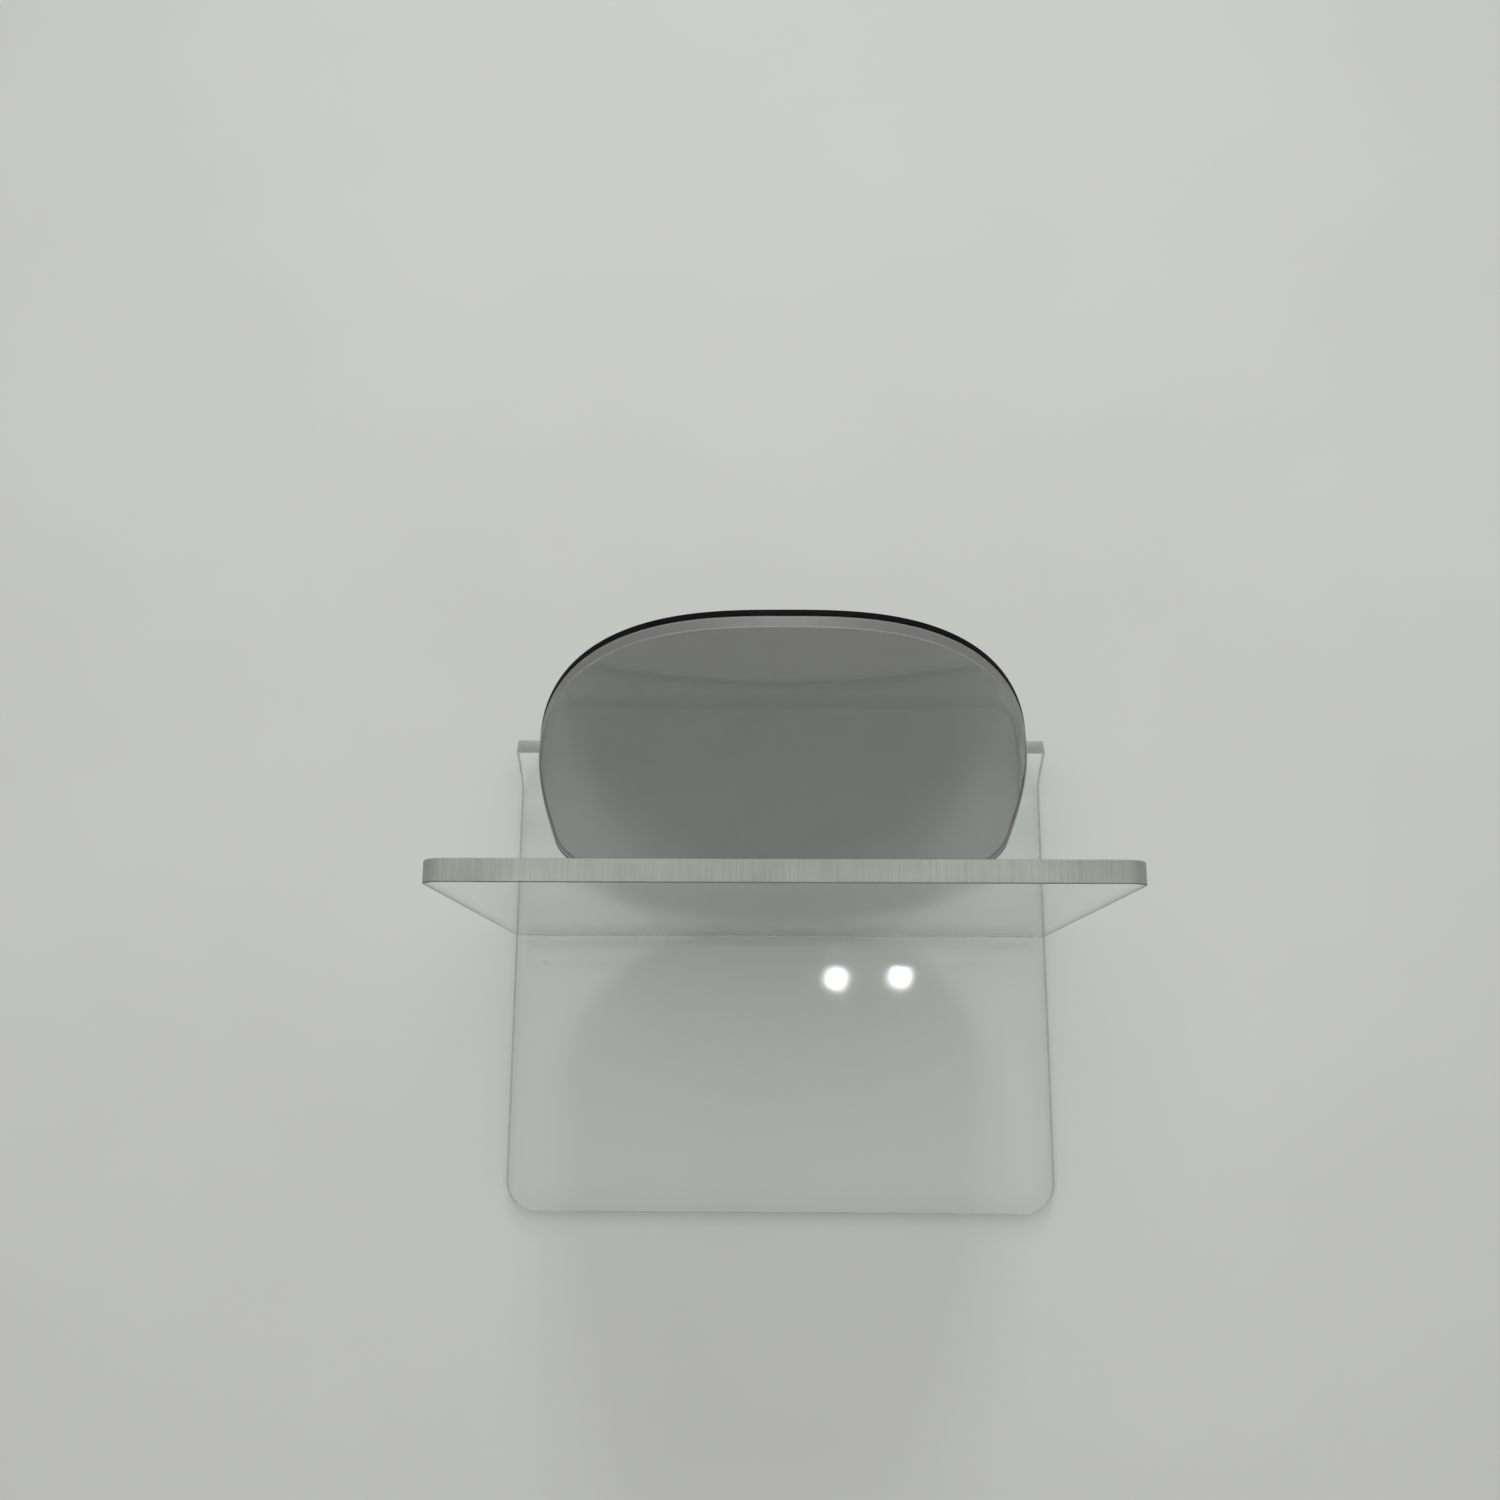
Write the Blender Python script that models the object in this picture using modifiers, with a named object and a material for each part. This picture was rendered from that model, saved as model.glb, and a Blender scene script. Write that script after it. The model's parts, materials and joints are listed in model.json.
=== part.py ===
"""Countertop mirror: a rounded mirror with an easel back, standing in a clear bent-sheet tray.

Metres, +Z up, +X to the viewer's right, +Y away from the viewer. The origin is on the
surface that the tray stands on, below the middle of the tray.
"""

import math

import bmesh
import bpy

# Clear sheet that the tray and the front panel are cut from
SHEET = 0.006
TRAY_WIDTH = 0.180
SHELF_DEPTH = 0.090  # tray's front edge to the panel's front face
CHANNEL_DEPTH = 0.0444  # panel's rear face to the start of the rear bend
TRAY_CORNER_RADIUS = 0.010
LIP_ANGLE = math.radians(58)  # how far the rear lip is bent up from the tray
LIP_BEND_RADIUS = 0.004  # on the upper side of the bend
LIP_LENGTH = 0.0135  # straight part of the lip, after the bend
PANEL_HEIGHT = 0.140
PANEL_CORNER_RADIUS = 0.006
EDGE_BREAK = 0.0004
CEMENT_FILM = 0.0002  # between cemented faces
BEAD_LEG = 0.0014  # cement squeezed out along the panel's foot
BEAD_INSET = 0.004  # from the tray's side edges to the beads' ends

# Mirror and its backing, measured along the leaning mirror
MIRROR_TILT = math.radians(15)
MIRROR_HEIGHT = 0.174
MIRROR_WIDTH = 0.140
WIDEST_HEIGHT = 0.050  # from the mirror's lowest point to its widest level
UPPER_SQUARENESS = 2.8  # exponent of the outline above the widest level
LOWER_SQUARENESS = 2.0  # exponent of the outline below it
PANE_THICKNESS = 0.003
FILM_THICKNESS = 0.0002
BACKING_THICKNESS = 0.0015
LAYER_GAP = 0.0001
MIRROR_STANDOFF = 0.005  # panel's rear face to the mirror's foot
REST_GAP = 0.0003  # under what stands on the tray

# Hinge of the easel strut
HINGE_HEIGHT = 0.105  # pin's height along the mirror, from its lowest point
HINGE_WIDTH = 0.040
HINGE_METAL = 0.0008
KNUCKLE_RADIUS = 0.0022
PIN_RADIUS = 0.001
PIN_CLEARANCE = 0.00008
PIN_END = 0.0006  # how far the pin stands out of the knuckles
KNUCKLE_GAP = 0.0003  # between neighbouring knuckles, and from them to the backing
LEAF_KNUCKLE = 0.014
PLATE_HEIGHT = 0.020
LEAF_WIDTH = 0.028
LEAF_LENGTH = 0.021
HINGE_CORNER_RADIUS = 0.002
HINGE_SHOULDER = 0.0008  # from the knuckles' outside to what turns past them

# Easel strut
STRUT_THICKNESS = 0.0025
STRUT_TOP_WIDTH = 0.034
STRUT_FOOT_WIDTH = 0.056
STRUT_CORNER_RADIUS = 0.003
FOOT_STANDOFF = 0.0018  # start of the rear bend to the middle of the strut's foot

# Rivets
RIVET_SHANK = 0.0012
RIVET_CLEARANCE = 0.0001
RIVET_HEAD_RADIUS = 0.0024
RIVET_HEAD_HEIGHT = 0.0009
RIVET_TAIL_RADIUS = 0.0019
RIVET_TAIL_HEIGHT = 0.0004
RIVET_EDGE = 0.005  # from a rivet's axis to the nearest edges of its leaf

# How finely the round shapes are divided
OUTLINE_STEPS = 72
CIRCLE_STEPS = 24
CORNER_STEPS = 6
BEND_STEPS = 8
DOME_STEPS = 4

# Places worked out from the sizes above
LIP_RISE_DIRECTION = (math.cos(LIP_ANGLE), math.sin(LIP_ANGLE))
LIP_OUTWARD = (math.sin(LIP_ANGLE), -math.cos(LIP_ANGLE))
BEND_FROM_FRONT = SHELF_DEPTH + SHEET + CHANNEL_DEPTH
TRAY_DEPTH = (
    BEND_FROM_FRONT + (LIP_BEND_RADIUS + SHEET) * LIP_OUTWARD[0] + LIP_LENGTH * LIP_RISE_DIRECTION[0]
)
TRAY_FRONT = -TRAY_DEPTH / 2
BEND_START = TRAY_FRONT + BEND_FROM_FRONT
PANEL_FRONT = TRAY_FRONT + SHELF_DEPTH
PANEL_REAR = PANEL_FRONT + SHEET
PANEL_FOOT = SHEET + CEMENT_FILM

FILM_FRONT = -PANE_THICKNESS - LAYER_GAP
BACKING_FRONT = FILM_FRONT - FILM_THICKNESS - LAYER_GAP
BACKING_REAR = BACKING_FRONT - BACKING_THICKNESS
SEAT_Y = PANEL_REAR + MIRROR_STANDOFF
SEAT_Z = SHEET + REST_GAP - BACKING_REAR * math.sin(MIRROR_TILT)

PLATE_FRONT = BACKING_REAR - LAYER_GAP
AXIS_DEPTH = BACKING_REAR - KNUCKLE_GAP - KNUCKLE_RADIUS
AXIS_Y = SEAT_Y + HINGE_HEIGHT * math.sin(MIRROR_TILT) - AXIS_DEPTH * math.cos(MIRROR_TILT)
AXIS_Z = SEAT_Z + HINGE_HEIGHT * math.cos(MIRROR_TILT) + AXIS_DEPTH * math.sin(MIRROR_TILT)
FOOT_Y = BEND_START - FOOT_STANDOFF
FOOT_Z = SHEET + REST_GAP
STRUT_LEAN = math.atan2(FOOT_Y - AXIS_Y, AXIS_Z - FOOT_Z)
STRUT_REACH = (AXIS_Z - FOOT_Z) / math.cos(STRUT_LEAN) - STRUT_THICKNESS / 2 * abs(math.tan(STRUT_LEAN))

UPRIGHT = math.pi / 2
ALONG_X = (UPRIGHT, 0, UPRIGHT)  # turns a profile drawn in XY to lie in YZ, extruded along X
LEAF_FRONT = HINGE_METAL - KNUCKLE_RADIUS  # leaf's front face, measured from the pin's axis
STRUT_REAR = LEAF_FRONT + LAYER_GAP
STRUT_TOP = -KNUCKLE_RADIUS - HINGE_SHOULDER


def clear_scene():
    for obj in list(bpy.data.objects):
        bpy.data.objects.remove(obj, do_unlink=True)


def new_collection(name):
    collection = bpy.data.collections.new(name)
    bpy.context.scene.collection.children.link(collection)
    return collection


def new_material(name, colour, roughness, metallic=0.0, transmission=0.0):
    material = bpy.data.materials.new(name)
    material.use_nodes = True
    shader = material.node_tree.nodes["Principled BSDF"]
    shader.inputs["Base Color"].default_value = (*colour, 1)
    shader.inputs["Roughness"].default_value = roughness
    shader.inputs["Metallic"].default_value = metallic
    shader.inputs["Transmission Weight"].default_value = transmission
    return material


def new_empty(name, location, turn):
    empty = bpy.data.objects.new(name, None)
    empty.location = location
    empty.rotation_euler = (turn, 0, 0)
    PARTS.objects.link(empty)
    return empty


def arc(centre, radius, start, end, steps):
    points = []
    for step in range(steps + 1):
        angle = start + (end - start) * step / steps
        points.append((centre[0] + radius * math.cos(angle), centre[1] + radius * math.sin(angle)))
    return points


def circle(centre, radius):
    return arc(centre, radius, 0, 2 * math.pi, CIRCLE_STEPS)[:-1]


def rounded(corners):
    """Outline through (x, y, radius) corners, each rounded by an arc that touches both of its sides."""
    points = []
    count = len(corners)
    for i, (x, y, radius) in enumerate(corners):
        if radius == 0:
            points.append((x, y))
            continue
        before, after = corners[i - 1], corners[(i + 1) % count]
        into = math.atan2(y - before[1], x - before[0])
        out = math.atan2(after[1] - y, after[0] - x)
        turn = math.remainder(out - into, 2 * math.pi)
        reach = radius * math.tan(abs(turn) / 2)
        side = math.copysign(UPRIGHT, turn)
        start = (x - reach * math.cos(into), y - reach * math.sin(into))
        centre = (start[0] + radius * math.cos(into + side), start[1] + radius * math.sin(into + side))
        points += arc(centre, radius, into - side, into - side + turn, CORNER_STEPS)
    return points


def mirror_outline():
    """Rounded outline with its lowest point at the origin, widest below the middle."""
    points = []
    for step in range(OUTLINE_STEPS):
        angle = 2 * math.pi * step / OUTLINE_STEPS
        across, up = math.cos(angle), math.sin(angle)
        squareness = UPPER_SQUARENESS if up > 0 else LOWER_SQUARENESS
        reach = MIRROR_HEIGHT - WIDEST_HEIGHT if up > 0 else WIDEST_HEIGHT
        x = math.copysign(abs(across) ** (2 / squareness), across) * MIRROR_WIDTH / 2
        y = math.copysign(abs(up) ** (2 / squareness), up) * reach
        points.append((x, WIDEST_HEIGHT + y))
    return points


def extruded(name, outlines, thickness):
    """Mesh object of a flat outline, with any further outlines as holes, centred on its own XY plane."""
    curve = bpy.data.curves.new(name, "CURVE")
    curve.dimensions = "2D"
    curve.fill_mode = "BOTH"
    curve.extrude = thickness / 2
    for outline in outlines:
        spline = curve.splines.new("POLY")
        spline.points.add(len(outline) - 1)
        for point, (x, y) in zip(spline.points, outline):
            point.co = (x, y, 0, 1)
        spline.use_cyclic_u = True
    drawn = bpy.data.objects.new(name + "_outline", curve)
    PARTS.objects.link(drawn)
    mesh = bpy.data.meshes.new_from_object(drawn.evaluated_get(bpy.context.evaluated_depsgraph_get()))
    bpy.data.objects.remove(drawn, do_unlink=True)
    shape = bmesh.new()
    shape.from_mesh(mesh)
    bmesh.ops.remove_doubles(shape, verts=shape.verts, dist=1e-6)
    bmesh.ops.recalc_face_normals(shape, faces=shape.faces)
    shape.to_mesh(mesh)
    shape.free()
    mesh.name = name
    solid = bpy.data.objects.new(name, mesh)
    PARTS.objects.link(solid)
    return solid


def place(solid, material, location=(0, 0, 0), turn=(0, 0, 0), parent=None):
    solid.location = location
    solid.rotation_euler = turn
    solid.parent = parent
    solid.data.materials.clear()
    solid.data.materials.append(material)
    return solid


def break_edges(solid, width=EDGE_BREAK):
    bevel = solid.modifiers.new("edge break", "BEVEL")
    bevel.width = width
    bevel.segments = 1
    bevel.limit_method = "ANGLE"
    bevel.angle_limit = math.radians(50)


def combine(solid, other, operation):
    """Boolean with a helper that is kept among the cutters."""
    PARTS.objects.unlink(other)
    CUTTERS.objects.link(other)
    other.hide_render = True
    other.display_type = "WIRE"
    boolean = solid.modifiers.new(other.name, "BOOLEAN")
    boolean.operation = operation
    boolean.object = other


def turned(name, profile):
    """Solid of revolution about its own Z axis, from (radius, height) points that run top to bottom."""
    mesh = bpy.data.meshes.new(name)
    points = [(radius, 0, height) for radius, height in profile]
    mesh.from_pydata(points, [(i, i + 1) for i in range(len(points) - 1)], [])
    solid = bpy.data.objects.new(name, mesh)
    PARTS.objects.link(solid)
    screw = solid.modifiers.new("turn", "SCREW")
    screw.axis = "Z"
    screw.steps = CIRCLE_STEPS
    screw.render_steps = CIRCLE_STEPS
    screw.use_merge_vertices = True
    screw.merge_threshold = 1e-5
    return solid


def make_base_tray():
    """Flat tray with round front corners, its rear edge bent up into a low lip that leans back."""
    bend_centre = (BEND_START, SHEET + LIP_BEND_RADIUS)
    down = -math.pi / 2
    outer = arc(bend_centre, LIP_BEND_RADIUS + SHEET, down, down + LIP_ANGLE, BEND_STEPS)
    inner = arc(bend_centre, LIP_BEND_RADIUS, down + LIP_ANGLE, down, BEND_STEPS)
    rise = (LIP_LENGTH * LIP_RISE_DIRECTION[0], LIP_LENGTH * LIP_RISE_DIRECTION[1])
    outer_end = (outer[-1][0] + rise[0], outer[-1][1] + rise[1])
    inner_end = (inner[0][0] + rise[0], inner[0][1] + rise[1])
    profile = [(TRAY_FRONT, 0), *outer, outer_end, inner_end, *inner, (TRAY_FRONT, SHEET)]
    tray = extruded("base_tray", [profile], TRAY_WIDTH + SHEET)
    place(tray, CLEAR, turn=ALONG_X)
    half = TRAY_WIDTH / 2
    behind = TRAY_FRONT + TRAY_DEPTH + SHEET
    corners = [
        (-half, TRAY_FRONT, TRAY_CORNER_RADIUS),
        (half, TRAY_FRONT, TRAY_CORNER_RADIUS),
        (half, behind, 0),
        (-half, behind, 0),
    ]
    height = 4 * (LIP_LENGTH + LIP_BEND_RADIUS + SHEET)
    combine(tray, extruded("tray_plan", [rounded(corners)], height), "INTERSECT")
    break_edges(tray)


def make_front_panel():
    half = TRAY_WIDTH / 2
    corners = [
        (-half, 0, 0),
        (half, 0, 0),
        (half, PANEL_HEIGHT, PANEL_CORNER_RADIUS),
        (-half, PANEL_HEIGHT, PANEL_CORNER_RADIUS),
    ]
    panel = extruded("front_panel", [rounded(corners)], SHEET)
    place(panel, CLEAR, (0, PANEL_FRONT + SHEET / 2, PANEL_FOOT), (UPRIGHT, 0, 0))
    break_edges(panel)


def make_cement_bead(name, foot_y, outward):
    """Hollow-faced bead in the corner between the tray and one face of the panel."""
    hollow = arc((BEAD_LEG, BEAD_LEG), BEAD_LEG, -UPRIGHT, -math.pi, CORNER_STEPS)
    corner = [(0, 0), *hollow]
    profile = [(outward * (y + CEMENT_FILM), z) for y, z in corner]
    bead = extruded(name, [profile], TRAY_WIDTH - 2 * BEAD_INSET)
    place(bead, CEMENT, (0, foot_y, SHEET + CEMENT_FILM), ALONG_X)


def make_mirror_layer(name, front, thickness, material, seat, holes=()):
    layer = extruded(name, [mirror_outline(), *holes], thickness)
    place(layer, material, (0, 0, front - thickness / 2), parent=seat)
    return layer


def plate_rivets():
    """Rivet places on the fixed leaf, measured from the middle of the pin."""
    across = HINGE_WIDTH / 2 - RIVET_EDGE
    low = KNUCKLE_RADIUS + RIVET_EDGE
    high = PLATE_HEIGHT - RIVET_EDGE
    return [(-across, low), (across, low), (-across, high), (across, high)]


def leaf_rivets():
    """Rivet places on the strut's leaf, measured from the middle of the pin."""
    across = LEAF_WIDTH / 2 - RIVET_EDGE
    low = STRUT_TOP - LEAF_LENGTH + RIVET_EDGE
    high = STRUT_TOP - RIVET_EDGE
    return [(-across, high), (across, high), (0, low)]


def holes_at(places):
    return [circle(place_of_hole, RIVET_SHANK + RIVET_CLEARANCE) for place_of_hole in places]


def add_knuckle(leaf, name, middle, length, parent, axis_place):
    """Joins a short tube round the pin to a leaf of the hinge."""
    centre = (0, 0)
    tube = extruded(name, [circle(centre, KNUCKLE_RADIUS), circle(centre, PIN_RADIUS + PIN_CLEARANCE)], length)
    place(tube, STEEL, (middle, *axis_place), (0, UPRIGHT, 0), parent)
    combine(leaf, tube, "UNION")


def make_hinge_plate(seat):
    """Leaf on the backing, with a knuckle at each side of a notch for the strut's own knuckle."""
    half = HINGE_WIDTH / 2
    notch = LEAF_KNUCKLE / 2 + KNUCKLE_GAP
    notch_top = KNUCKLE_RADIUS + HINGE_SHOULDER
    corners = [
        (-half, 0, 0),
        (-notch, 0, 0),
        (-notch, notch_top, 0),
        (notch, notch_top, 0),
        (notch, 0, 0),
        (half, 0, 0),
        (half, PLATE_HEIGHT, HINGE_CORNER_RADIUS),
        (-half, PLATE_HEIGHT, HINGE_CORNER_RADIUS),
    ]
    plate = extruded("strut_hinge_plate", [rounded(corners), *holes_at(plate_rivets())], HINGE_METAL)
    place(plate, STEEL, (0, HINGE_HEIGHT, PLATE_FRONT - HINGE_METAL / 2), parent=seat)
    length = half - notch
    for side in (-1, 1):
        name = "left_knuckle" if side < 0 else "right_knuckle"
        add_knuckle(plate, name, side * (notch + length / 2), length, seat, (HINGE_HEIGHT, AXIS_DEPTH))


def make_hinge_leaf(pivot):
    """Leaf on the rear of the strut, with the knuckle that turns on the pin."""
    half, tongue = LEAF_WIDTH / 2, LEAF_KNUCKLE / 2
    foot = STRUT_TOP - LEAF_LENGTH
    corners = [
        (-tongue, 0, 0),
        (-tongue, STRUT_TOP, 0),
        (-half, STRUT_TOP, 0),
        (-half, foot, HINGE_CORNER_RADIUS),
        (half, foot, HINGE_CORNER_RADIUS),
        (half, STRUT_TOP, 0),
        (tongue, STRUT_TOP, 0),
        (tongue, 0, 0),
    ]
    leaf = extruded("strut_hinge_leaf", [rounded(corners), *holes_at(leaf_rivets())], HINGE_METAL)
    place(leaf, STEEL, (0, 0, LEAF_FRONT - HINGE_METAL / 2), parent=pivot)
    add_knuckle(leaf, "leaf_knuckle", 0, LEAF_KNUCKLE, pivot, (0, 0))


def make_hinge_pin(seat):
    pin = extruded("hinge_pin", [circle((0, 0), PIN_RADIUS)], HINGE_WIDTH + 2 * PIN_END)
    place(pin, STEEL, (0, HINGE_HEIGHT, AXIS_DEPTH), (0, UPRIGHT, 0), seat)


def make_easel_strut(pivot):
    """Tapered board that hangs from the hinge and stands on the tray, just ahead of the rear lip."""
    top, foot = STRUT_TOP_WIDTH / 2, STRUT_FOOT_WIDTH / 2
    corners = [
        (-top, STRUT_TOP, STRUT_CORNER_RADIUS),
        (-foot, -STRUT_REACH, STRUT_CORNER_RADIUS),
        (foot, -STRUT_REACH, STRUT_CORNER_RADIUS),
        (top, STRUT_TOP, STRUT_CORNER_RADIUS),
    ]
    strut = extruded("easel_strut", [rounded(corners), *holes_at(leaf_rivets())], STRUT_THICKNESS)
    place(strut, BOARD, (0, 0, STRUT_REAR + STRUT_THICKNESS / 2), parent=pivot)


def rivet_head(under):
    """Domed head below a level, as profile points from its rim to its crown."""
    profile = [(RIVET_SHANK, under), (RIVET_HEAD_RADIUS, under)]
    for step in range(1, DOME_STEPS + 1):
        angle = UPRIGHT * step / DOME_STEPS
        radius = RIVET_HEAD_RADIUS * math.cos(angle) if step < DOME_STEPS else 0
        profile.append((radius, under - RIVET_HEAD_HEIGHT * math.sin(angle)))
    return profile


def make_plate_rivets(seat):
    """Rivets through the fixed leaf, each ending inside the backing."""
    end = BACKING_REAR + BACKING_THICKNESS - RIVET_CLEARANCE
    under = PLATE_FRONT - HINGE_METAL - RIVET_CLEARANCE
    profile = [(0, end), (RIVET_SHANK, end), *rivet_head(under)]
    for number, (x, y) in enumerate(plate_rivets(), 1):
        rivet = turned(f"hinge_plate_rivet_{number}", profile)
        place(rivet, STEEL, (x, HINGE_HEIGHT + y, 0), parent=seat)


def make_strut_rivets(pivot):
    """Rivets through the strut and its leaf, spread flat on the strut's front face."""
    tail = STRUT_REAR + STRUT_THICKNESS + RIVET_CLEARANCE
    under = LEAF_FRONT - HINGE_METAL - RIVET_CLEARANCE
    flat = [(0, tail + RIVET_TAIL_HEIGHT), (RIVET_TAIL_RADIUS, tail + RIVET_TAIL_HEIGHT)]
    profile = [*flat, (RIVET_TAIL_RADIUS, tail), (RIVET_SHANK, tail), *rivet_head(under)]
    for number, (x, y) in enumerate(leaf_rivets(), 1):
        rivet = turned(f"strut_rivet_{number}", profile)
        place(rivet, STEEL, (x, y, 0), parent=pivot)


def make_stand():
    make_base_tray()
    make_front_panel()
    make_cement_bead("panel_cement_front", PANEL_FRONT, -1)
    make_cement_bead("panel_cement_rear", PANEL_REAR, 1)


def make_mirror():
    seat = new_empty("mirror_seat", (0, SEAT_Y, SEAT_Z), UPRIGHT - MIRROR_TILT)
    make_mirror_layer("mirror_pane", 0, PANE_THICKNESS, PANE, seat)
    make_mirror_layer("mirror_film", FILM_FRONT, FILM_THICKNESS, SILVER, seat)
    rivet_holes = holes_at([(x, HINGE_HEIGHT + y) for x, y in plate_rivets()])
    make_mirror_layer("backing_board", BACKING_FRONT, BACKING_THICKNESS, BOARD, seat, rivet_holes)
    make_hinge_plate(seat)
    make_hinge_pin(seat)
    make_plate_rivets(seat)


def make_strut():
    pivot = new_empty("strut_pivot", (0, AXIS_Y, AXIS_Z), UPRIGHT + STRUT_LEAN)
    make_easel_strut(pivot)
    make_hinge_leaf(pivot)
    make_strut_rivets(pivot)


clear_scene()
PARTS = new_collection("countertop_mirror")
CUTTERS = new_collection("countertop_mirror_cutters")
CUTTERS.hide_render = True
CLEAR = new_material("clear acrylic", (0.93, 0.96, 0.94), 0.03, transmission=1.0)
CEMENT = new_material("dried cement", (0.95, 0.96, 0.95), 0.08, transmission=1.0)
PANE = new_material("mirror acrylic", (0.94, 0.94, 0.96), 0.02, transmission=1.0)
SILVER = new_material("silvered film", (0.55, 0.55, 0.58), 0.04, metallic=1.0)
BOARD = new_material("black board", (0.012, 0.012, 0.013), 0.6)
STEEL = new_material("plated steel", (0.62, 0.61, 0.58), 0.3, metallic=1.0)
make_stand()
make_mirror()
make_strut()
bpy.context.view_layer.update()
print(f"Strut hinge axis at y {AXIS_Y:.5f}, z {AXIS_Z:.5f}")
print(f"Strut opens {math.degrees(MIRROR_TILT + STRUT_LEAN):.2f} degrees from the backing")
print(f"Mirror's front face meets the tray at y {SEAT_Y:.5f}, panel's rear face at y {PANEL_REAR:.5f}")
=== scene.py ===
"""Countertop mirror: the looks of a leaning, rounded mirror in a clear bent-sheet tray.

Laid out as a Blender add-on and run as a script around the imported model. Metres, +Z up,
+X to the viewer's right, +Y away from the viewer.
"""

import json
import math

import bmesh
import bpy
from bpy.props import FloatProperty, FloatVectorProperty, IntProperty, PointerProperty
from mathutils import Matrix, Vector


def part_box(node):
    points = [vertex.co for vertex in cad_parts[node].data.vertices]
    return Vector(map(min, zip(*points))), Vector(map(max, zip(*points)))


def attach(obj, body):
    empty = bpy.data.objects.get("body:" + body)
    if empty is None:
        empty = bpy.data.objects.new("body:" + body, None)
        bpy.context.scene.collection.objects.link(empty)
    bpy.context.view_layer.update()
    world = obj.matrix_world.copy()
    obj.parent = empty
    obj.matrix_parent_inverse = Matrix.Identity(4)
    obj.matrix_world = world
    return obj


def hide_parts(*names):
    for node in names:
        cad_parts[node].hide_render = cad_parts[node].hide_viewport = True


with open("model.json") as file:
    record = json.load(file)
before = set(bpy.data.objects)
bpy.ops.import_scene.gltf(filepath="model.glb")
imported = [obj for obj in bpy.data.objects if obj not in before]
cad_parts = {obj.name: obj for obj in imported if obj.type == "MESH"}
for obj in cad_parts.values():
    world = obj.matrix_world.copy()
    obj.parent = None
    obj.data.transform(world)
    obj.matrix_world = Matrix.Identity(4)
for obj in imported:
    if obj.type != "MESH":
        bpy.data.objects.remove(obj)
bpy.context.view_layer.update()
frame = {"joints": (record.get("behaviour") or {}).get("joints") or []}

bl_info = {
    "name": "Countertop mirror",
    "version": (1, 0, 0),
    "blender": (4, 5, 0),
    "location": "View3D > Sidebar > Mirror",
    "description": "Builds the pieces, finishes and studio of a countertop mirror in a clear tray",
    "category": "Object",
}

UPRIGHT = math.pi / 2

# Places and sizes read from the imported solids
TRAY_LOW, TRAY_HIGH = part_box("base_tray")
PANEL_LOW, PANEL_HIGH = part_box("front_panel")
PANE_LOW, PANE_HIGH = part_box("mirror_pane")
PIN_AXIS = next(joint["pos_m"] for joint in frame["joints"] if joint["child"] == "strut")

# How finely the round shapes are divided
OUTLINE_STEPS = 288
CORNER_STEPS = 14
BEND_STEPS = 20
CURL_STEPS = 36
ROUND_STEPS = 48
DOME_STEPS = 8
RIM_STEPS = 6
BREAK_STEPS = 3
BEAD_LENGTHS = 180
TABLE_SPANS = 8
CREASE = math.radians(35)
RIM_ANGLE = math.radians(50)

# Small bevels and gaps, and the distance within which corners are merged
PIN_RIM = 0.0003
STRUT_RIM = 0.0003
METAL_RIM = 0.00012
BOARD_RIM = 0.0001
LEAF_GAP = 0.0001
TABLE_GAP = 0.0003
WELD = 1e-6

# How far a knuckle is rolled round the pin, and how the panel's foot and the pane's bevel face
CURL = math.radians(300)
FOOT_FACING = -0.9
BEVEL_FACING = (0.1, 0.99)

# Waves along a cement bead: how close they lie, how high they are and how the phase moves them
BEAD_WAVES = ((61, 1.0, 1), (173, 0.6, 2), (467, 0.3, -1))
BEAD_FULLNESS = 0.95
BEAD_WAVINESS = 0.02

# Noise of the marks in the finishes: turns, stretches and scales, and the levels between which it fades
SCRATCH_TURNS = (0.4, -0.9)
SCRATCH_STRETCH = (900, 14, 900)
SCRATCH_LEVELS = (0.66, 0.74)
SCRATCH_PATCHES = 22.0
PATCH_LEVELS = (0.45, 0.7)
SAW_STRETCHES = ((2600, 40, 40), (40, 40, 2600))
SAW_TURN = 0.7
SAW_WAVES = 120.0
SAW_WAVE_HEIGHT = 0.5
SAW_WAVE_SHADE = 0.6
SAW_LEVELS = (0.55, 1.05)
COARSE_GRAIN = 0.06
GRAIN_LEVELS = (0.3, 0.7)

# Depths of the marks, and what they add to the roughness
SAW_DEPTH = 0.0002
BOARD_GRAIN_DEPTH = 0.0001
STEEL_GRAIN_DEPTH = 0.00005
SCRATCH_MATTE = 0.10
STEEL_SCRATCH_MATTE = 0.15
DUST_MATTE = 0.4
SAW_MATTE = 0.12

# Clear sheet: its index and density, the turn of its sideways ends that get painted shade, and the tints that
# it leaves in a shadow
CLEAR_INDEX = 1.49
CLEAR_DENSITY = 0.9
PAINTED_SIDE_SHADE_TURNS = (0.1, 0.5)
CLEAR_SHADE = (0.975, 0.98, 0.975)
CUT_SHADE = (0.70, 0.72, 0.70)
RIM_SHADE = (0.88, 0.89, 0.88)
CEMENT_SHADE = (0.8, 0.82, 0.8)
PANE_SHADE = (0.9, 0.9, 0.92)
PANE_CUT_SHADE = (0.7, 0.7, 0.7)
PANE_RIM_SHADE = (0.9, 0.9, 0.9)
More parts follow.
